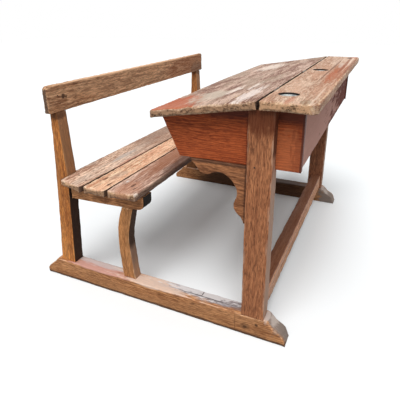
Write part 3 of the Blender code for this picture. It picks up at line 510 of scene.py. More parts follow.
hands = (("right", 1), ("left", -1))
for hand, side in hands:
    low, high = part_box("runner_" + hand)
    tall = high.z - low.z
    heel = curve_through([(low.y + runner_heel * u, tall * v) for u, v in heel_shares])
    toe = curve_through([(high.y - runner_toe * u, tall * v) for u, v in toe_shares])
    runs = [heel, [heel[-1], toe[0]], toe, [toe[-1], heel[0]]]
    outline = outline_of(runs, [0.004, 0.003, 0.002, 0.002])
    # Painted shade: on the left runner the worn patches are faded to 0.3 of their strength.
    bared_or_shaded = 1.0 if side == 1 else 0.3
    runner_oak = timber(
        "runner_oak_" + hand, "y", (224, 162, 110), (144, 92, 58), (196, 144, 102), (74, 46, 30),
        tinted=0.4, ring=0.009, heart=(0.56, 0.0, 0.14), wander=0.03, pits=0.55,
        arris=(230, 190, 158), side=side, chance=3.1, blots=[
            ((204, 154, 144), (0.555, -0.255, tall), (0.045, 0.15, 0.008), 1.6, (80, 14, 80), 0.8 * bared_or_shaded),
            ((200, 188, 184), (0.52, -0.25, tall), (0.026, 0.19, 0.008), 2.0, (90, 14, 90), 0.75 * bared_or_shaded),
            ((230, 206, 190), (0.545, 0.0, tall), (0.05, 0.19, 0.008), 2.0, (90, 12, 90), 0.75 * bared_or_shaded),
            ((170, 168, 174), (0.527, 0.21, tall), (0.03, 0.2, 0.008), 2.0, (90, 10, 90), 0.85 * bared_or_shaded),
            ((118, 106, 104), (0.532, 0.24, tall), (0.03, 0.15, 0.008), 3.2, (130, 26, 90), 0.6 * bared_or_shaded),
            ((232, 226, 224), (0.523, 0.17, tall), (0.026, 0.16, 0.008), 3.2, (110, 34, 90), 0.65 * bared_or_shaded),
            ((70, 62, 62), (0.541, 0.185, tall), (0.0022, 0.125, 0.008), 1.0, (160, 30, 60), 0.85 * bared_or_shaded),
            ((70, 62, 62), (0.527, 0.168, tall), (0.016, 0.0022, 0.008), 0.8, (60, 90, 60), 0.85 * bared_or_shaded),
            ((138, 128, 122), (0.532, 0.432, 0.05), (0.038, 0.07, 0.3), 1.1, (90, 50, 60), 0.9),
            ((210, 192, 182), (0.54, 0.397, tall), (0.04, 0.01, 0.02), 1.2, (90, 90, 90), 0.6),
            ((206, 192, 182), (0.53, 0.42, 0.062), (0.032, 0.02, 0.02), 1.4, (120, 50, 60), 0.6),
            ((122, 108, 98), (0.535, 0.448, 0.045), (0.04, 0.022, 0.03), 2.0, (220, 24, 60), 0.6),
            ((84, 58, 40), (0.57, 0.332, 0.034), (0.01, 0.019, 0.013), 0.7, (90, 90, 90), 0.6),
            ((158, 114, 80), (0.57, 0.338, 0.038), (0.01, 0.012, 0.006), 0.6, (90, 90, 90), 0.7),
            ((96, 66, 46), (0.57, 0.298, 0.035), (0.01, 0.0018, 0.05), 0.4, (60, 60, 60), 0.5),
            ((58, 38, 28), (0.57, 0.332, 0.031), (0.008, 0.008, 0.006), 0.9, (160, 160, 160), 0.85),
            ((64, 42, 32), (0.57, 0.369, 0.05), (0.008, 0.0065, 0.0065), 0.9, (160, 160, 160), 0.8),
            ((140, 92, 54), (0.57, 0.0, 0.012), (0.02, 1.2, 0.036), 1.4, (60, 14, 60), 0.2),
            ((60, 42, 32), (0.57, 0.0, 0.0), (0.04, 1.2, 0.013), 0.9, (20, 12, 60), 0.8),
            # Painted shadow of the desk along the middle of the left runner.
            ((50, 31, 24), (0.54, 0.0, 0.04), (0.2, 0.42, 0.2), 0.5, (60, 14, 60), 0.85 * (side < 0))
        ])
    runner = sawn("floor_runner_" + hand, outline, low.x, high.x, arris=0.003, dent=0.0012)
    fit(runner, runner_oak, "frame", "oak", "runner_" + hand)


# Back posts: oak, sawn to lean back as they rise and thinned at the top to a tongue behind the
# rail. They stand in through mortises in the runners, and the seat bearers are tenoned into them.
fit_gap = 0.0003
post_foot_depth = 0.0657
post_seat_reach = 0.0863
post_rail_reach = 0.0743
post_lean = 0.0428
post_lean_shares = [(0.0, 0.0), (0.23, 0.36), (0.54, 0.755), (0.79, 1.0), (1.0, 1.0)]
seat_height = 0.4353
foot_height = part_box("runner_right")[1].z + fit_gap
post_low, post_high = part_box("back_post_right")
back_line = post_low.y
tongue_top = post_high.z
rail_low, rail_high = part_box("backrest_rail")
tongue_front = rail_low.y - fit_gap
shoulder = rail_low.z - fit_gap

for hand, side in hands:
    low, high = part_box("back_post_" + hand)
    rear = curve_through([(back_line + post_lean * lean, foot_height + (tongue_top - foot_height) * up)
                          for up, lean in post_lean_shares])
    corners = [rear[-1], (tongue_front, tongue_top), (tongue_front, shoulder),
               (back_line + post_rail_reach, shoulder), (back_line + post_seat_reach, seat_height),
               (back_line + post_foot_depth, foot_height), rear[0]]
    outline = outline_of([rear] + [corners[index:index + 2] for index in range(6)],
                         [0.002, 0.001, 0.001, 0.002, 0.003, 0.001, 0.001])
    post_oak = timber(
        "back_post_oak_" + hand, "z", (240, 158, 84), (158, 94, 50), (186, 132, 86), (80, 50, 32),
        heart=(0.46, -0.40, 0.0), wander=0.025, streaks=0.7, pits=0.6, arris=(224, 172, 120),
        side=side, chance=1.7, blots=[
            # Painted light and shade on the front face: lighter above the seat and nearly black under it. A
            # painted shadow lies under the rail's end, and the left post gets painted shade low down under
            # the desk.
            ((206, 162, 124), (0.56, -0.33, 0.62), (0.2, 0.2, 0.26), 1.4, (90, 60, 20), 0.55, "front"),
            ((112, 80, 60), (0.56, -0.33, 0.5), (0.2, 0.2, 0.2), 3.0, (200, 200, 60), 0.45, "front"),
            ((44, 29, 22), (0.56, -0.33, 0.22), (0.2, 0.2, 0.24), 0.3, (60, 60, 14), 0.97, "front"),
            ((84, 52, 36), (0.56, -0.37, 0.655), (0.07, 0.07, 0.024), 0.8, (60, 60, 60), 0.75),
            ((74, 48, 34), (0.54, -0.4, 0.1), (0.2, 0.2, 0.22), 0.4, (60, 60, 14), 0.75 * (side < 0))
        ])
    post = sawn("back_post_timber_" + hand, outline, low.x, high.x, arris=0.0028, dent=0.0008)
    fit(post, post_oak, "frame", "oak", "back_post_" + hand)


# Seat legs: sawn to a bow from thick oak, with a swelling foot. A tenon at each end stands in the
# runner below and in the bearer above, with a shoulder against both.
back_to_leg = 0.2873
leg_foot_depth = 0.048
leg_rear_shares = [(0.0, 0.0), (0.05, -0.083), (0.28, -0.20), (0.52, -0.277), (0.78, -0.14), (1.0, 0.27)]
leg_front_shares = [(1.0, 1.198), (0.75, 0.844), (0.56, 0.688), (0.29, 0.813), (0.0, 1.0)]
slat_names = ("rear", "middle", "front")
slat_widths = (0.0825, 0.0903, 0.1154)
slat_thicknesses = (0.0215, 0.0235, 0.026)
slat_gap = 0.008
bearer_rear_depth = 0.0652
bearer_front_depth = 0.0498
bearer_rear_foot = seat_height - bearer_rear_depth - slat_thicknesses[0]
bearer_front_foot = seat_height - bearer_front_depth - slat_thicknesses[2]
seat_rear = back_line + post_seat_reach + fit_gap
seat_nose = seat_rear + slat_widths[0] + slat_widths[1] + slat_widths[2] + 2 * slat_gap


def bearer_foot_at(y):
    """Underside of a bearer, on one line from the back post to the seat's nose."""
    share = (y - seat_rear) / (seat_nose - seat_rear)
    return bearer_rear_foot + share * (bearer_front_foot - bearer_rear_foot)


def leg_line_at(shares):
    """A leg's sawn side: each share up from runner to bearer, with its share of the foot's depth across."""
    ups, across = np.array(shares).T
    y = back_line + back_to_leg + leg_foot_depth * across
    return np.stack([y, foot_height + ups * (bearer_foot_at(y) - fit_gap - foot_height)], 1)


for hand, side in hands:
    low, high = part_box("seat_leg_" + hand)
    rear = curve_through(leg_line_at(leg_rear_shares), 8)
    front = curve_through(leg_line_at(leg_front_shares), 8)
    outline = outline_of([rear, [rear[-1], front[0]], front, [front[-1], rear[0]]], [0.001] * 4,
                         spacing=0.008)
    leg_oak = timber(
        "leg_oak_" + hand, "z", (230, 162, 104), (154, 100, 60), (176, 126, 84), (76, 48, 32),
        ring=0.007, heart=(0.46, -0.12, 0.0), arris=(232, 186, 142), side=side, chance=2.3, blots=[
            # Painted shade: the front face is dark under the seat, and paler towards the foot.
            ((60, 42, 33), (0.56, -0.09, 0.32), (0.2, 0.2, 0.23), 0.4, (60, 60, 20), 0.96, "front"),
            ((172, 138, 116), (0.56, -0.09, 0.12), (0.2, 0.2, 0.1), 0.8, (60, 60, 20), 0.7, "front")
        ])
    leg = sawn("seat_leg_timber_" + hand, outline, low.x, high.x, arris=0.003, dent=0.0009)
    fit(leg, leg_oak, "frame", "oak", "seat_leg_" + hand)


# Seat bearers: oak rails from the back posts to the seat's nose, tenoned into the posts and carried
# by the seat legs. Their tops are cut to the slopes of the slats and their front ends are rounded.
slat_starts = (0.0, 0.0092, 0.0049)
slat_ends = (0.0129, 0.0092, 0.0)
slat_skew = 0.009
bearer_setback = 0.0015
bearer_middle = 0.531
seat_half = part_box("seat_slat_front")[1].x


def polygon(corners, eases, spacing=0.012):
    """The outline whose runs are the straight sides between corners, each with its ease."""
    closed = list(corners) + [corners[0]]
    return outline_of([closed[index:index + 2] for index in range(len(corners))],
                      eases[1:] + eases[:1], spacing)


def slat_edges(x):
    """Rear and front edge of each slat at one x: the rear slat widens evenly towards -X by the skew."""
    rear = seat_rear
    edges = []
    for place, width in enumerate(slat_widths):
        front = rear + width + (slat_skew * (seat_half - x) / (2 * seat_half) if place == 0 else 0.0)
        front = seat_nose if place == 2 else front
        edges.append((rear, front))
        rear = front + slat_gap
    return edges


for hand, side in hands:
    low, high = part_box("seat_bearer_" + hand)
    seat_line = []
    for place, (rear, front) in enumerate(slat_edges(side * bearer_middle)):
        seat_line += [(rear, seat_height - slat_starts[place] - slat_thicknesses[place] - fit_gap),
                      (front, seat_height - slat_ends[place] - slat_thicknesses[place] - fit_gap)]
    nose = seat_nose - bearer_setback
    seat_line[-1] = (nose, seat_line[-1][1])
    corners = seat_line + [(nose, bearer_foot_at(nose)), (seat_rear, bearer_foot_at(seat_rear))]
    outline = polygon(corners, [0.001] * 5 + [0.004, 0.028, 0.001])
    bearer_oak = timber(
        "bearer_oak_" + hand, "y", (246, 178, 122), (164, 110, 74), (192, 140, 98), (70, 44, 30),
        ring=0.007, heart=(0.5, 0.0, 0.30), arris=(216, 168, 118), side=side, chance=0.9, blots=[
            # Painted shade on the bearer's front end, under the seat's nose.
            ((24, 18, 15), (0.545, seat_nose, 0.37), (0.2, 0.06, 0.12), 0.2, (60, 60, 60), 1.0, "front")
        ])
    bearer = sawn("seat_bearer_timber_" + hand, outline, low.x, high.x, arris=0.0022, dent=0.0006)
    fit(bearer, bearer_oak, "frame", "oak", "seat_bearer_" + hand)


# Desk posts: squared oak that stands in the runners, cut back inside above the bracket for the side
# of the book box. The heads slope under the lid and carry the inkwell strip.
desk_top = cad_high.z
strip_low, strip_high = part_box("inkwell_strip")
hinge_line = 0.3455
lid_slope = 0.163
seam_gap = 0.0056
lid_rear = hinge_line - seam_gap / 2
lid_step = 0.0005
lid_thickness = 0.024
lid_drop = lid_thickness * math.hypot(1.0, lid_slope)
box_low, box_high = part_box("box_side_right")
panel_outer = box_high.x + fit_gap
rebate = box_low.z - fit_gap
rebate_step = 0.0001
post_end = 0.012
# The left post's colours are darker, as painted shade under the desk.
desk_post_looks_left_shaded = {
    "right": ((202, 136, 94), (148, 92, 62), (166, 108, 74), (88, 54, 38)),
    "left": ((188, 126, 90), (124, 78, 56), (146, 96, 70), (70, 44, 34))}


def lid_top_at(y):
    """Height of the lid's top: it slopes down towards the pupils from a small step at the strip."""
    return desk_top - lid_step - lid_slope * (lid_rear - y)


def lid_under_at(y):
    """Height of the lid's underside: its upright thickness below the top."""
    return lid_top_at(y) - lid_drop


for hand, side in hands:
    low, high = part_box("desk_post_" + hand)
    inner, outer = sorted((abs(low.x), abs(high.x)))
    corners = [(side * inner, low.y), (side * outer, low.y), (side * outer, high.y), (side * inner, high.y)]
    head = high.z
    head_front = lid_under_at(low.y) - fit_gap

    def cut_back(grid):
        """Above the rebate the inner face moves out to the box side; the head slopes under the lid."""
        x, y, z = np.moveaxis(grid.copy(), -1, 0)
        x = side * np.where(z > rebate, np.maximum(abs(x), panel_outer), abs(x))
        slope_top = np.minimum(head, head_front + lid_slope * (y - low.y))
        share = np.clip((z - rebate) / (head - rebate), 0.0, 1.0)
        return np.stack([x, y, z - share * (head - slope_top)], -1)

    stations = np.concatenate([np.linspace(foot_height + post_end, rebate - 0.002, 34),
                               [rebate - rebate_step, rebate + rebate_step],
                               np.linspace(rebate + 0.004, head - post_end, 10)])
    desk_oak = timber(
        "desk_post_oak_" + hand, "z", *desk_post_looks_left_shaded[hand], tinted=0.4, ring=0.006,
        heart=(0.40, 0.30, 0.0), wander=0.015, rings=0.2, stains=0.45, pits=0.75,
        arris=(200, 160, 134), side=side, chance=4.9, blots=[
            ((190, 157, 137), (0.56, high.y, 0.33), (0.2, 0.2, 0.33), 0.9, (50, 50, 12), 0.8, "front"),
            # Painted shadow of the strip high on the post's back face.
            ((70, 42, 32), (0.54, high.y, 0.66), (0.2, 0.2, 0.06), 0.5, (50, 50, 20), 0.8, "front"),
            ((92, 42, 22), (0.6, high.y - 0.03, 0.75), (0.09, 0.13, 0.115), 1.2, (60, 60, 14), 0.85)
        ])
    post = sawn("desk_post_timber_" + hand, polygon(corners, [0.003] * 4), foot_height, head,
                arris=0.0008, axes="zxy", stations=stations, dent=0.0011, bend=cut_back)
    fit(post, desk_oak, "frame", "oak", "desk_post_" + hand)


# Foot stretcher: one squared oak rail where the pupils rest their feet, tenoned into both desk
# posts. Shoes have dented it and rubbed its front pale under the top arris.
def oblong(low, high):
    """The four corners of a board's squared section."""
    return [(low.y, low.z), (high.y, low.z), (high.y, high.z), (low.y, high.z)]


low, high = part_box("foot_stretcher")
post_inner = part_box("desk_post_right")[0].x
stretcher_oak = timber(
    "stretcher_oak", "x", (255, 190, 146), (174, 118, 88), (218, 174, 148), (84, 56, 42),
    heart=(0.0, 0.44, -0.10), streaks=0.7, stains=0.55, arris=(206, 170, 146), chance=3.3, blots=[
        ((206, 176, 154), (0.3, high.y, 0.5 * (low.z + high.z) + 0.012), (0.3, 0.02, 0.01), 0.9,
         (12, 60, 60), 0.6, "front"),
        ((100, 54, 32), (0.0, 0.5 * (low.y + high.y), high.z), (1.2, 0.05, 0.007), 0.7, (10, 60, 60), 0.85)
    ])
stretcher = sawn("foot_stretcher_timber", polygon(oblong(low, high), [0.003, 0.004, 0.004, 0.003]),
                 -post_inner + fit_gap, post_inner - fit_gap, arris=0.0006, stations=60, dent=0.0022)
fit(stretcher, stretcher_oak, "frame", "oak", "foot_stretcher")


# Backrest rail: one oak board let into the fronts of the back posts and nailed there. Backs have
# rubbed its top arris pale and its corners round, and a dark knot lies near its right end.
rail_arris = 0.004
rail_foot_corner = 0.007
rail_head_corner = 0.013
rail_oak = timber(
    "rail_oak", "x", (252, 202, 158), (146, 100, 72), (214, 158, 115), (84, 56, 42), ring=0.0062,
    heart=(0.72, rail_high.y - 0.040, rail_low.z + 0.040), wander=0.022, rings=0.5, streaks=0.95,
    stains=0.3, pits=0.65, arris=(226, 180, 140), chance=4.7, end=((116, 90, 72), (64, 46, 38)), blots=[
        ((255, 216, 174), (0.12, rail_high.y, 0.7), (0.36, 0.05, 0.09), 1.6, (8, 60, 60), 0.15),
        ((150, 90, 54), (-0.46, rail_high.y, 0.7), (0.34, 0.05, 0.09), 1.2, (8, 60, 60), 0.5),
        ((120, 88, 68), (-0.52, rail_high.y, 0.66), (0.09, 0.05, 0.06), 0.9, (20, 40, 40), 0.6),
        ((236, 192, 154), (0.0, rail_high.y + 0.004, rail_high.z + 0.004), (0.9, 0.02, 0.013), 0.9,
         (8, 60, 60), 0.7),
        ((66, 44, 34), (0.522, rail_high.y, 0.709), (0.01, 0.02, 0.01), 0.5, (120, 60, 120), 0.9),
        ((66, 44, 34), (0.509, rail_high.y, 0.705), (0.007, 0.02, 0.006), 0.5, (120, 60, 120), 0.8)
    ])


def corner_inset(along, half, radius):
    """How far a board's edge draws in on a quarter circle where the board ends at half."""
    past = np.clip(abs(along) - half + radius, 0.0, radius)
    return radius - np.sqrt(radius ** 2 - past ** 2)


def rounded_ends(grid):
    """Each height keeps its share between a foot and a head line, whose ends are quarter circles."""
    x, y, z = np.moveaxis(grid.copy(), -1, 0)
    foot = rail_low.z + corner_inset(x, rail_high.x, rail_foot_corner)
    head = rail_high.z - corner_inset(x, rail_high.x, rail_head_corner)
    share = (z - rail_low.z) / (rail_high.z - rail_low.z)
    return np.stack([x, y, foot + share * (head - foot)], -1)


outline = polygon(oblong(rail_low, rail_high), [0.003, 0.0025, 0.006, 0.006], spacing=0.008)
rail = sawn("backrest_rail_board", outline, rail_low.x, rail_high.x, arris=rail_arris, stations=150,
            dent=0.0012, bend=rounded_ends)
fit(rail, rail_oak, "frame", "oak", "backrest_rail")


# Seat slats: three bare oak boards screwed down to the bearers, sloping to a shallow dish. The gaps
# run a little out of square and the ends are worn round; the faces beside the gaps and the lower
# parts of the slats are darkened with painted shade.
slat_notch = 0.013
slat_arris = 0.0052
slat_end = 0.0126
notch_step = 0.0001
gap_wear = 0.001
gap_corner = 0.005
slat_front_corners = (0.009, 0.004, 0.009)
post_inner_face = post_low.x - fit_gap
slat_looks = {
    "rear": ((255, 220, 192), (168, 122, 98), (214, 192, 174), 0.6, [
        ((200, 140, 118), (0.268, -0.243, 0.43), (0.16, 0.018, 0.05), 1.2, (10, 60, 60), 0.5),
        ((180, 178, 174), (0.275, -0.289, 0.43), (0.11, 0.012, 0.05), 1.2, (10, 60, 60), 0.4),
        ((140, 106, 88), (-0.4, -0.29, 0.43), (0.68, 0.4, 0.2), 0.8, (10, 60, 60), 0.6)
    ]),
    "middle": ((255, 222, 186), (200, 140, 106), (250, 194, 158), 0.45, [
        ((84, 56, 42), (0.508, -0.213, 0.43), (0.018, 0.005, 0.05), 0.3, (90, 90, 90), 0.85),
        ((84, 56, 42), (0.545, -0.171, 0.43), (0.018, 0.005, 0.05), 0.3, (90, 90, 90), 0.85),
        ((156, 128, 116), (0.46, -0.19, 0.43), (0.06, 0.02, 0.05), 1.1, (14, 60, 60), 0.4)
    ]),
    "front": ((242, 206, 184), (158, 117, 99), (218, 182, 162), 0.5, [
        ((178, 120, 88), (0.555, -0.085, 0.43), (0.07, 0.045, 0.05), 1.1, (24, 60, 60), 0.5),
        ((76, 52, 42), (0.533, -0.081, 0.43), (0.018, 0.005, 0.05), 0.9, (90, 90, 90), 0.85),
        ((76, 52, 42), (0.556, -0.062, 0.43), (0.01, 0.005, 0.05), 0.9, (90, 90, 90), 0.7),
        ((248, 232, 216), (0.59, -0.036, 0.432), (0.012, 0.006, 0.01), 2.2, (160, 160, 160), 0.6),
        ((226, 214, 206), (0.507, -0.121, 0.43), (0.01, 0.006, 0.05), 0.7, (90, 90, 90), 0.8),
        # Painted shade: the front slat darkens towards -X under the lid, and along its nose and underside.
        ((146, 90, 58), (-0.12, -0.1, 0.43), (0.7, 0.08, 0.2), 1.2, (10, 60, 60), 0.8),
        ((92, 60, 46), (-0.13, -0.04, 0.43), (0.68, 0.042, 0.2), 0.6, (8, 60, 60), 0.85),
        ((84, 58, 46), (-0.12, -0.028, 0.41), (0.6, 0.028, 0.034), 0.3, (6, 40, 40), 0.9)
    ])}
for place, name in enumerate(slat_names):
    thickness = slat_thicknesses[place]
    start, end = slat_starts[place], slat_ends[place]
    rear, front = slat_edges(seat_half)[place]
    notch_depth = slat_notch if place == 0 else 0.0
    start_height = seat_height - start - (start - end) / (front - rear) * notch_depth
    end_height = seat_height - end
    rear -= notch_depth
    worn_rear = rear + (0.0 if place == 0 else gap_wear)
    worn_front = front - (0.0 if place == 2 else gap_wear)
    corners = [(worn_rear, start_height - thickness), (worn_front, end_height - thickness),
               (worn_front, end_height), (worn_rear, start_height)]
    eases = [0.002, 0.010, 0.008, 0.002] if place == 2 else [0.002, 0.002, 0.003, 0.003]

    def skewed(grid):
        """Each point keeps its share of the slat's width; the rear slat is notched at the posts.

        The corners at the ends are worn round, those beside the first gap the most.
        """
        x, y, z = np.moveaxis(grid.copy(), -1, 0)
        moved = slat_skew * (seat_half - x) / (2 * seat_half)
        share = (y - rear) / (front - rear)
        start_move = 0.0 if place == 0 else moved + corner_inset(x, seat_half, gap_corner)
        end_move = 0.0 if place == 2 else moved
        end_move = end_move - corner_inset(x, seat_half, slat_front_corners[place])
        y = y + start_move + share * (end_move - start_move)
        if place == 0:
            y = np.where(abs(x) > post_inner_face, np.maximum(y, seat_rear), y)
        return np.stack([x, y, z], -1)

    stations = spread(-seat_half + slat_end, seat_half - slat_end, 160)
    if place == 0:
        notch = np.array([post_inner_face - notch_step, post_inner_face + notch_step])
        stations = np.sort(np.concatenate([stations, notch, -notch]))
    light, dark, tint, tinted, marks = slat_looks[name]
    slat_oak = timber(
        "slat_oak_" + name, "x", light, dark, tint, (84, 56, 44), tinted=tinted,
        heart=(0.2, -0.2, 0.33), wander=0.03, streaks=0.9, stains=0.6, pits=0.6,
        arris=(236, 204, 176), end=((214, 172, 134), (96, 70, 52)), chance=5.1 + 2.7 * place, blots=[
            # Painted shade: darker faces beside the gaps, and a darker lower part on every slat.
            ((60, 43, 35), (0.0, rear, 0.42), (5.0, 5.0, 0.2), 0.3,
             (10, 40, 40), (0.92, 0.92, 0.6)[place], "edges"),
            ((112, 82, 64), (0.0, -0.2, 0.4), (5.0, 5.0, 0.024), 0.6, (60, 60, 90), 0.5)
        ] + marks)
    slat = sawn("seat_slat_board_" + name, polygon(corners, eases, spacing=0.008), -seat_half, seat_half,
                arris=slat_arris, stations=stations, dent=0.0014, bend=skewed)
    fit(slat, slat_oak, "frame", "worn_oak", "seat_slat_" + name)


# Scrolled brackets: fretted from oak board and set in the corners between post and box. The scroll
# runs from the tip over a lobe, through a long hollow and over a second lobe to the post.
bracket_scroll_shares = [(0.975, 0.050), (0.885, 0.150), (0.835, 0.212), (0.775, 0.240), (0.695, 0.243),
                         (0.61, 0.203), (0.535, 0.181), (0.45, 0.179), (0.36, 0.218), (0.27, 0.291),
                         (0.215, 0.374), (0.187, 0.46), (0.195, 0.56), (0.235, 0.67), (0.228, 0.765),
                         (0.165, 0.855), (0.105, 0.905), (0.06, 1.0)]
for hand, side in hands:
    low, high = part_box("desk_bracket_" + hand)
    reach, drop = high.y - low.y, high.z - low.z
    scroll = curve_through([(high.y - reach * u, high.z - drop * v) for u, v in bracket_scroll_shares], 5)
    ceiling, tip, heel = (high.y, high.z), (low.y, high.z), (high.y, low.z)
    outline = outline_of([[ceiling, tip], [tip, scroll[0]], scroll, [scroll[-1], heel], [heel, ceiling]],
                         [0.001, 0.0015, 0.001, 0.001, 0.001], spacing=0.006)
    bracket_oak = timber(
        "bracket_oak_" + hand, "y", (192, 130, 88), (120, 76, 50), (168, 116, 82), (66, 42, 30),
        heart=(0.48, 0.0, 0.45), wander=0.05, rings=0.4, streaks=0.7, stains=0.6, pits=0.55,
        arris=(210, 164, 132), side=side, chance=6.3, blots=[
            # Painted shade in the corner against the post and along the top under the box's side.
            ((72, 44, 33), (0.54, high.y, 0.5 * (low.z + high.z)), (0.2, 0.014, 0.2), 0.3,
             (30, 60, 30), 0.8),
            ((64, 42, 33), (0.54, 0.5 * (low.y + high.y), high.z), (0.2, 0.3, 0.01), 0.3, (30, 30, 60), 0.7)
        ])
    bracket = sawn("desk_bracket_scroll_" + hand, outline, low.x, high.x, arris=0.002, dent=0.0008)
    fit(bracket, bracket_oak, "frame", "oak", "desk_bracket_" + hand)


# Book box: red-stained pine. The sides pass inside the desk posts and are nailed to them, and the
# front, back and floor boards are housed between the sides. The floor board is left bare.
box_foot_reach = 0.2192
box_lip_reach = 0.2764
front_setback = 0.008
front_thickness = 0.016
post_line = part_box("desk_post_right")[0].y
box_foot = post_line - box_foot_reach
box_lip = post_line - box_lip_reach
board_half = box_low.x - fit_gap
board_looks = {
    "front": ((190, 106, 66), (120, 60, 40), (150, 84, 60), (76, 38, 28)),
    "back": ((172, 110, 88), (100, 58, 44), (124, 78, 64), (64, 38, 32)),
    "floor": ((206, 164, 120), (150, 108, 72), (176, 134, 98), (96, 64, 42))}
for hand, side in hands:
    low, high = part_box("box_side_" + hand)
    corners = [(box_foot, low.z), (high.y, low.z), (high.y, strip_low.z - fit_gap),
               (hinge_line, min(lid_under_at(hinge_line), strip_low.z) - fit_gap),
               (box_lip, lid_under_at(box_lip) - fit_gap)]
    panel_pine = timber(
        "panel_pine_" + hand, "y", (206, 106, 58), (142, 64, 34), (172, 82, 44), (84, 38, 26), tinted=0.4,
        ring=0.0064, heart=(0.45, 0.0, 0.42), wander=0.045, rings=0.65, streaks=0.7, stains=0.4,
        pits=0.4, arris=(180, 94, 64), side=side, rough=0.45, chance=7.7, blots=[
            # Painted shadow of the lid and strip along the top, with some dark stain; painted shade beside
            # the post's front face.
            ((84, 38, 28), (0.54, 0.2, 0.745), (0.2, 1.0, 0.062), 0.5, (14, 8, 30), 0.85),
            ((104, 46, 33), (0.54, post_line, 0.63), (0.2, 0.014, 0.4), 0.8, (40, 40, 40), 0.7),
            ((200, 122, 80), (0.54, 0.42, 0.615), (0.2, 0.045, 0.085), 1.6, (60, 70, 70), 0.4),
            ((108, 48, 34), (0.54, high.y, 0.62), (0.2, 0.03, 0.3), 2.4, (60, 90, 24), 0.35),
            ((84, 46, 36), (0.54, high.y, 0.65), (0.2, 0.0066, 0.3), 0.5, (60, 60, 24), 0.85)
        ])
    panel = sawn("box_side_panel_" + hand, polygon(corners, [0.0015] * 5), low.x, high.x, arris=0.0016,
                 dent=0.0005)
    fit(panel, panel_pine, "frame", "red_pine", "box_side_" + hand)


def box_front_at(z):
    """Sloping front edge of the box's sides, on one line from foot to lip."""
    lip_height = lid_under_at(box_lip)
    return box_foot + (z - box_low.z) / (lip_height - box_low.z) * (box_lip - box_foot)


for name in ("front", "back", "floor"):
    low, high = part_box("box_" + name + "_board")
    corners = oblong(low, high)
    if name == "front":
        corners = [(box_front_at(z) + front_setback + step, z) for z, step in
                   ((low.z, 0.0), (low.z, front_thickness), (high.z, front_thickness), (high.z, 0.0))]
    if name == "floor":
        rear_of_front = front_setback + front_thickness + 2 * fit_gap
        corners[0] = (box_front_at(low.z) + rear_of_front, low.z)
        corners[3] = (box_front_at(high.z) + rear_of_front, high.z)
    board_wood = timber(
        "box_board_wood_" + name, "x", *board_looks[name], tinted=0.6, ring=0.010,
        heart=(0.2, 0.42, 0.5), wander=0.05, rings=0.4, streaks=0.7, stains=0.8, pits=0.2,
        arris=(190, 150, 130), shine=0.02, chance=8.9, blots=[
            ((102, 44, 30), (-0.6, high.y, 0.66), (1.1, 0.1, 0.5), 1.0, (14, 30, 30), 0.9, "front"),
            ((222, 172, 158), (0.52, high.y, 0.65), (0.75, 0.4, 0.5), 2.4, (14, 60, 60), 0.8, "front")
        ])
    board = sawn("box_board_" + name, polygon(corners, [0.0015] * 4), -board_half, board_half,
                 arris=0.0004, stations=70, dent=0.0006)
    fit(board, board_wood, "frame", "plain_pine" if name == "floor" else "red_pine",
        "box_" + name + "_board")


# Inkwell strip: a thick level oak board over the posts, with a pen groove along its back and two
# stepped wells bored through it. Its back corners are rounded and its end grain is pitted.
strip_arris = 0.0058
corner_radius = 0.020
groove_start, groove_end = -0.350, 0.250
groove_line = strip_low.y + 0.1122
groove_width = 0.031
groove_depth = 0.0035
well_places = (("right", 0.467), ("left", -0.057))
well_line = strip_low.y + 0.0487
well_radius = 0.0285
well_ledge = 0.0093
well_chamfer = 0.0012
cup_radius = 0.0235
cup_clearance = 0.0008
drill_overrun = 0.01
slot_half = 0.0006


def strip_shape(grid):
    """The back edge draws in on a quarter circle at each end; the groove is a shallow trough.

    The trough's depth falls off as a smooth step from its floor to its edges and round its ends.
    """
    x, y, z = np.moveaxis(grid.copy(), -1, 0)
    back = strip_high.y - corner_inset(x, strip_high.x, corner_radius)
    y = strip_low.y + (y - strip_low.y) * (back - strip_low.y) / (strip_high.y - strip_low.y)
    half = groove_width / 2
    along = np.clip((groove_start + half - x) / half, 0.0, None)
    along = along + np.clip((x - groove_end + half) / half, 0.0, None)
    away = np.hypot(along, (y - groove_line) / half)
    trough = 1.0 - np.clip((away - 0.55) / 0.45, 0.0, 1.0)
    trough = trough ** 2 * (3 - 2 * trough)
    on_top = np.clip((z - strip_low.z) / (strip_high.z - strip_low.z) * 4 - 3, 0.0, 1.0)
    return np.stack([x, y, z - groove_depth * trough * on_top], -1)


def turned(name, profile, places, axis="z", sides=48, slot=0.0, **marks):
    """Turned pieces: the (radius, height) profile carried round an axis through each place.

    A slot lowers the points of the head that lie close to one diameter by its depth, which is
    negative where the head points towards less.
    """
    profile = np.asarray(profile, float)
    angle = np.linspace(0.0, 2 * math.pi, sides, endpoint=False) + math.pi / sides * (sides == 4)
    across, along = profile[:, :1] * np.cos(angle), profile[:, :1] * np.sin(angle)
    height = np.repeat(profile[:, 1:2], sides, 1)
    height = height - slot * (abs(across) < slot_half) * (height * slot > 0.0)
    columns = {"z": (across, along, height), "x": (height, across, along), "y": (along, height, across)}
    return skin(name, np.stack(columns[axis], -1), places, **marks)


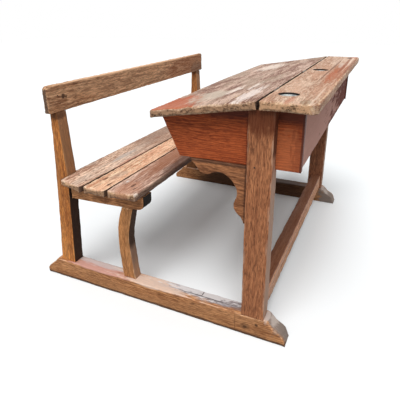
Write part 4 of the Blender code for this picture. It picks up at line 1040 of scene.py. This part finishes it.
def bore(piece, drills):
    """Cut the drills out of the strip, take them away and mark the wells' walls, within their radius, as
    facing front, so that the strip's painted shade falls on them.
    """
    for drill in drills:
        cutting = piece.modifiers.new(drill.name, "BOOLEAN")
        cutting.operation = "DIFFERENCE"
        cutting.solver = "EXACT"
        cutting.object = drill
    done = bpy.data.meshes.new_from_object(piece.evaluated_get(bpy.context.evaluated_depsgraph_get()))
    piece.modifiers.clear()
    piece.data = done
    done.name = piece.name
    for drill in drills:
        bpy.data.objects.remove(drill)
    place = np.empty(3 * len(done.vertices), np.float32)
    done.vertices.foreach_get("co", place)
    place = place.reshape(-1, 3)
    inside = np.zeros(len(place), bool)
    for hand, x in well_places:
        inside |= np.hypot(place[:, 0] - x, place[:, 1] - well_line) < well_radius + 0.0004
    for label, value in (("worn", 0.0), ("sawn_end", 0.0), ("forward", 1.0), ("upward", 0.0)):
        kept = np.empty(len(place), np.float32)
        done.attributes[label].data.foreach_get("value", kept)
        done.attributes[label].data.foreach_set("value", np.where(inside, value, kept).astype(np.float32))


bend_ends = strip_high.x - np.linspace(0.0145, 0.026, 8)
straight_half = bend_ends[-1] - 0.004
stations = np.concatenate([-bend_ends, np.linspace(-straight_half, straight_half, 220), bend_ends[::-1]])
outline = polygon(oblong(strip_low, strip_high), [0.004, 0.005, 0.005, 0.003], spacing=0.0035)
strip = sawn("inkwell_strip_board", outline, strip_low.x, strip_high.x, arris=strip_arris,
             stations=stations, dent=0.0012, bend=strip_shape)
ledge = desk_top - well_ledge
bore_radius = cup_radius + cup_clearance
drill_profile = [(bore_radius, strip_low.z - drill_overrun), (bore_radius, ledge), (well_radius, ledge),
                 (well_radius, desk_top - well_chamfer), (well_radius + well_chamfer, desk_top),
                 (well_radius + 0.004, desk_top + drill_overrun)]
bore(strip, [turned("well_drill_" + hand, drill_profile, [(x, well_line, 0.0)], sides=64)
             for hand, x in well_places])
strip_oak = timber(
    "strip_oak", "x", (226, 196, 170), (160, 114, 88), (200, 154, 126), (96, 66, 50), tinted=0.6,
    ring=0.009, heart=(0.1, 0.40, 0.70), wander=0.05, streaks=0.8, stains=0.7, pits=0.45,
    arris=(230, 198, 162), end=((215, 170, 132), (90, 67, 46)), chance=9.7, blots=[
        ((168, 118, 90), (-0.05, 0.455, 0.757), (0.4, 0.026, 0.03), 0.9, (9, 60, 60), 0.7, "top"),
        ((168, 84, 42), (0.04, 0.451, 0.76), (0.2, 0.013, 0.03), 3.0, (40, 190, 80), 0.6, "top"),
        ((168, 92, 54), (-0.06, 0.47, 0.76), (0.34, 0.026, 0.03), 2.4, (24, 150, 80), 0.55, "top"),
        ((176, 84, 54), (-0.56, 0.474, 0.76), (0.05, 0.018, 0.03), 1.2, (60, 90, 60), 0.6, "top"),
        ((214, 186, 166), (-0.42, 0.44, 0.76), (0.2, 0.06, 0.03), 1.6, (12, 60, 60), 0.45, "top"),
        ((214, 196, 182), (-0.24, 0.45, 0.757), (0.1, 0.007, 0.03), 1.8, (14, 90, 60), 0.45, "top"),
        ((116, 74, 52), (-0.1, 0.432, 0.76), (0.36, 0.0045, 0.03), 1.0, (12, 60, 60), 0.8, "top"),
        ((186, 116, 88), (0.55, 0.416, 0.76), (0.05, 0.012, 0.03), 1.2, (24, 60, 60), 0.5, "top"),
        ((124, 100, 70), (0.555, 0.458, 0.76), (0.035, 0.016, 0.03), 1.4, (60, 60, 60), 0.5, "top"),
        ((236, 212, 190), (0.47, 0.473, 0.76), (0.2, 0.0035, 0.03), 1.8, (24, 90, 60), 0.55, "top"),
        ((54, 38, 30), (-0.519, 0.455, 0.76), (0.03, 0.011, 0.03), 0.5, (90, 90, 90), 0.9, "top"),
        ((140, 82, 58), (-0.28, 0.463, 0.76), (0.34, 0.0055, 0.03), 1.6, (16, 160, 60), 0.75, "top"),
        ((240, 216, 198), (-0.3, 0.474, 0.76), (0.34, 0.004, 0.03), 1.8, (18, 160, 60), 0.6, "top"),
        ((122, 74, 54), (-0.26, 0.488, 0.757), (0.4, 0.0065, 0.02), 1.0, (14, 90, 90), 0.7),
        # Painted shade in the seam along the strip's front edge and on the walls of both wells.
        ((40, 28, 23), (0.0, strip_low.y, 0.75), (5.0, 0.006, 0.05), 0.2, (20, 60, 60), 0.85, "edges"),
        ((30, 24, 21), (0.467, well_line, 0.75), (0.06, 0.06, 0.08), 0.1, (60, 60, 60), 1.0, "front"),
        ((30, 24, 21), (-0.057, well_line, 0.75), (0.06, 0.06, 0.08), 0.1, (60, 60, 60), 1.0, "front")
    ])
fit(strip, strip_oak, "frame", "worn_oak", "inkwell_strip")


# Inkwell cups: glazed ware, one in each well, hung by a rolled lip on the well's ledge. The pale
# grey glaze is clouded with old ink.
ware, ware_tree, ware_shader, ware_place = new_finish("glazed_ware")
ware_cloud = stretched(ware_tree, ware_place, (90.0, 90.0, 90.0), detail=4.0)["Fac"]
ware_colour = mixed(ware_tree, rise(ware_tree, ware_cloud, 0.4, 0.62), paint(196, 200, 196),
                    paint(140, 146, 148))
feed(ware_tree, ware_shader, {"Base Color": ware_colour, "Roughness": 0.25})
rim, foot = desk_top - 0.0055, desk_top - 0.041
lip = [(0.0250 + 0.0027 * math.cos(angle), rim - 0.002 + 0.002 * math.sin(angle))
       for angle in np.linspace(0.0, math.pi, 9)]
cup_profile = [(0.004, foot), (0.0215, foot), (cup_radius, foot + 0.003), (cup_radius, rim - 0.0042),
               (0.0277, rim - 0.004), *lip, (0.0195, rim - 0.005), (0.0195, foot + 0.009),
               (0.016, foot + 0.005), (0.004, foot + 0.004)]
for hand, x in well_places:
    cup = turned("inkwell_ware_" + hand, cup_profile, [(x, well_line, 0.0)])
    fit(cup, ware, "frame", "glazed_ware", "inkwell_cup_" + hand)


# Lid: two oak boards on three pine battens, hung on butt hinges before the strip. The front board
# widens towards the left, and its edge wanders where arms have worn it.
lid_arris = 0.0060
rear_board_width = 0.0897
front_board_width = 0.2268
lid_half = strip_high.x
lid_joint = lid_rear - rear_board_width
lid_front = lid_joint - front_board_width
lid_bulge = 0.0255
lid_corner = 0.005
lid_bulge_shares = [(1.0, 0.0), (0.78, 0.12), (0.56, 0.24), (0.37, 0.46), (0.09, 0.80), (-0.21, 0.99),
                    (-0.71, 1.0), (-1.0, 0.90)]
batten_depth = 0.0182


def bulged(grid):
    """The front edge moves forward by a smooth curve of x, and each point slides down the slope."""
    x, y, z = np.moveaxis(grid.copy(), -1, 0)
    along, bulge = curve_through(lid_bulge_shares[::-1], 8).T
    forward = lid_bulge * np.interp(x / lid_half, along, bulge) - corner_inset(x, lid_half, lid_corner)
    forward = forward * (lid_joint - y) / (lid_joint - lid_front)
    return np.stack([x, y - forward, z - lid_slope * forward], -1)


lid_oak = timber(
    "lid_oak", "x", (216, 184, 164), (120, 80, 64), (176, 152, 132), (90, 62, 52), tinted=0.7,
    heart=(0.0, 0.15, 0.60), wander=0.05, rings=0.3, streaks=0.9, stains=1.2, pits=0.45,
    arris=(222, 192, 160), end=((182, 143, 112), (80, 58, 42)), chance=11.3, blots=[
        ((206, 192, 174), (0.43, 0.145, 0.72), (0.13, 0.06, 0.1), 1.2, (12, 40, 40), 0.6, "top"),
        ((244, 228, 216), (0.335, 0.2, 0.74), (0.08, 0.015, 0.1), 2.8, (26, 150, 60), 0.75, "top"),
        ((244, 230, 222), (0.46, 0.285, 0.75), (0.15, 0.024, 0.1), 2.8, (22, 130, 60), 0.66, "top"),
        ((242, 226, 214), (0.288, 0.248, 0.74), (0.08, 0.012, 0.1), 2.6, (26, 150, 60), 0.7, "top"),
        ((236, 218, 204), (-0.338, 0.129, 0.72), (0.15, 0.06, 0.1), 2.4, (14, 90, 40), 0.75, "top"),
        ((128, 86, 72), (-0.2, 0.262, 0.75), (0.24, 0.014, 0.1), 1.2, (8, 60, 60), 0.6, "top"),
        ((122, 82, 70), (0.27, 0.167, 0.73), (0.07, 0.008, 0.1), 1.2, (14, 90, 60), 0.6, "top"),
        ((180, 92, 56), (0.63, 0.03, 0.7), (0.3, 0.15, 0.3), 1.5, (16, 70, 16), 0.82, "top"),
        ((176, 138, 104), (0.0, 0.17, 0.7), (5.0, 5.0, 5.0), 0.6, (8, 60, 60), 0.65, "under"),
        # Painted shade in the seam along the lid's rear edge.
        ((40, 28, 23), (0.0, lid_rear, 0.75), (5.0, 0.006, 0.05), 0.2, (20, 60, 60), 0.85, "edges")
    ])
lid_boards = (("front", lid_front, lid_joint - fit_gap, [0.006, 0.001, 0.001, 0.006], bulged, 1),
              ("rear", lid_joint, lid_rear, [0.001, 0.002, 0.003, 0.001], None, -1))
for name, front, rear, eases, bend, joint in lid_boards:
    corners = [(front, lid_under_at(front)), (rear, lid_under_at(rear)), (rear, lid_top_at(rear)),
               (front, lid_top_at(front))]
    board = sawn("lid_board_" + name + "_timber", polygon(corners, eases, spacing=0.005), -lid_half,
                 lid_half, arris=lid_arris, stations=200, dent=0.0014, bend=bend, joint=joint)
    fit(board, lid_oak, "lid", "worn_oak", "lid_board_" + name)

batten_pine = timber(
    "batten_pine", "y", (206, 164, 120), (150, 108, 72), (176, 134, 98), (96, 64, 42), ring=0.006,
    rings=0.4, streaks=0.5, pits=0.3, arris=(214, 176, 132), chance=12.9)
for letter in "abc":
    low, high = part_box("lid_batten_" + letter)
    corners = [(y, lid_under_at(y) - down) for y, down in
               ((low.y, batten_depth), (high.y, batten_depth), (high.y, fit_gap), (low.y, fit_gap))]
    batten = sawn("lid_batten_strip_" + letter, polygon(corners, [0.002, 0.002, 0.001, 0.001]), low.x,
                  high.x, arris=0.002, dent=0.0004)
    fit(batten, batten_pine, "lid", "plain_pine", "lid_batten_" + letter)


# Butt hinges: three pairs of steel leaves on pins, sunk in the seam between lid and strip. They
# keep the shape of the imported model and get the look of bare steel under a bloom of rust.
def metal(name, clean, rusty, rough):
    """Old iron: a brown bloom of rust over the bare metal, rougher and duller where it lies."""
    made, tree, shader, place = new_finish(name)
    bloom = rise(tree, stretched(tree, place, (160.0, 160.0, 160.0), detail=5.0)["Fac"], 0.42, 0.62)
    feed(tree, shader, {
        "Base Color": mixed(tree, bloom, paint(*clean), paint(*rusty)),
        "Roughness": maths(tree, "ADD", rough, maths(tree, "MULTIPLY", bloom, 0.3)),
        "Metallic": maths(tree, "SUBTRACT", 0.9, maths(tree, "MULTIPLY", bloom, 0.6))})
    return made


steel = metal("hinge_steel", (120, 116, 110), (92, 66, 50), 0.35)
for node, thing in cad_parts.items():
    if node.startswith("hinge_"):
        thing.data.materials.clear()
        thing.data.materials.append(steel)


# Seat screws: countersunk iron screws through the slats into the bearers, two to each slat at each
# end. Their slotted heads are turned flush, and sit a hair low where the wood has swollen.
iron = metal("dark_iron", (72, 60, 52), (58, 38, 28), 0.55)
slot_depth = 0.0009
screw_profile = [(0.0006, -0.018), (0.0014, -0.014), (0.0016, -0.0030), (0.0038, -0.0002), (0.0039, 0.0002),
                 (0.0034, 0.0005), (0.0026, 0.0006), (0.0018, 0.0006), (0.0010, 0.0006), (0.0003, 0.0006)]
screw_stagger = 0.014
screw_depth = 0.0006


def fasten(name, profile, places, axis, body, nodes=(), sides=48, slot=0.0):
    """Iron fastenings of one profile, turned about an axis through each place."""
    fit(turned(name, profile, places, axis, sides, slot), iron, body, "dark_iron", *nodes)


for hand, side in hands:
    places = []
    for place, (rear, front) in enumerate(slat_edges(side * bearer_middle)):
        start, end = slat_starts[place], slat_ends[place]
        for share in (0.26, 0.74):
            y = rear + share * (front - rear)
            along = bearer_middle if share < 0.5 else bearer_middle + screw_stagger
            top = seat_height - start + (start - end) * (y - rear) / (front - rear)
            places.append((side * along, y, top - screw_depth))
    fasten("seat_screws_" + hand, screw_profile, places, "z", "frame", slot=slot_depth)


# Cut nails: two through the rail into each back post, one in each post into the box's side, and one
# at each end of the strip into the post under it. Their square heads are hammered into the wood.
nail_profile = [(0.0008, -0.024), (0.0018, -0.003), (0.0030, -0.0010), (0.0034, 0.0002), (0.0026, 0.0007),
                (0.0010, 0.0008)]
rail_nail_depth = 0.0006
post_nail_depth = 0.0004
strip_nail_depth = 0.0012


def middle_of(node):
    """The middle of a node's box."""
    return sum(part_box(node), Vector()) / 2


for hand, side in hands:
    nodes = ["rail_nail_%d" % number for number in ((1, 2) if side == 1 else (3, 4))]
    places = [(middle_of(node).x, rail_high.y - rail_nail_depth, middle_of(node).z) for node in nodes]
    fasten("rail_nails_" + hand, nail_profile, places, "y", "frame", nodes, sides=4)
    node = "post_nail_%s_1" % hand
    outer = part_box("desk_post_" + hand)[side == 1].x
    place = (outer - side * post_nail_depth, middle_of(node).y, middle_of(node).z)
    profile = [(radius, side * height) for radius, height in nail_profile]
    fasten("post_nail_iron_" + hand, profile, [place], "x", "frame", [node], sides=4)
    node = "strip_nail_%d" % (1 if side == 1 else 2)
    place = (middle_of(node).x, middle_of(node).y, desk_top - strip_nail_depth)
    fasten("strip_nail_iron_" + hand, nail_profile, [place], "z", "frame", [node], sides=4)


# Oak pegs: round pegs driven through the runners and the tenons that stand in them, six to a
# runner, and pared flush, so that only their dark end grain shows.
peg_oak = timber(
    "peg_oak", "x", (150, 104, 68), (96, 64, 42), (120, 84, 56), (54, 36, 26), ring=0.006, rings=0.4,
    streaks=0.5, end=((92, 60, 40), (50, 33, 24)))
for hand, side in hands:
    for number in range(1, 7):
        node = "runner_peg_%s_%d" % (hand, number)
        low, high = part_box(node)
        half = (high.x - low.x) / 2 - 0.0002
        radius = (high.y - low.y) / 2
        profile = [(0.0012, -half), (radius - 0.0006, -half + 0.0001), (radius, -half + 0.0008),
                   (radius, half - 0.0008), (radius - 0.0006, half - 0.0001), (0.0012, half)]
        peg = turned("peg_oak_%s_%d" % (hand, number), profile, [tuple((low + high) / 2)], "x", sides=24,
                     worn=0.0, sawn_end=1.0)
        fit(peg, peg_oak, "frame", "oak", node)


# Screws of the hidden hardware: iron, four through each batten, driven up into the lid's boards,
# and three smaller ones through each hinge leaf into the edge of the lid or of the strip.
batten_screws = []
for letter in "abc":
    low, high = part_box("lid_batten_" + letter)
    for share in (0.10, 0.42, 0.66, 0.90):
        y = low.y + share * (high.y - low.y)
        batten_screws.append(((low.x + high.x) / 2, y, lid_under_at(y) - batten_depth - 0.0001))
down_profile = [(radius, -height) for radius, height in screw_profile[2:]]
fasten("batten_screws", down_profile, batten_screws, "z", "lid", slot=-slot_depth)
leaf_face = 0.0013
leaf_screw_height = 0.0075
screw_proud = 0.0002
small_screw = 0.75
for name, body, side in (("lid", "lid", -1), ("strip", "frame", 1)):
    places = []
    for letter in "abc":
        low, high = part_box("hinge_%s_leaf_%s" % (name, letter))
        for share in (0.14, 0.5, 0.86):
            places.append((low.x + share * (high.x - low.x), hinge_line + side * (leaf_face + screw_proud),
                           low.z + leaf_screw_height))
    profile = [(small_screw * radius, -side * height) for radius, height in screw_profile]
    fasten("hinge_screws_" + name, profile, places, "y", body, slot=-side * slot_depth)
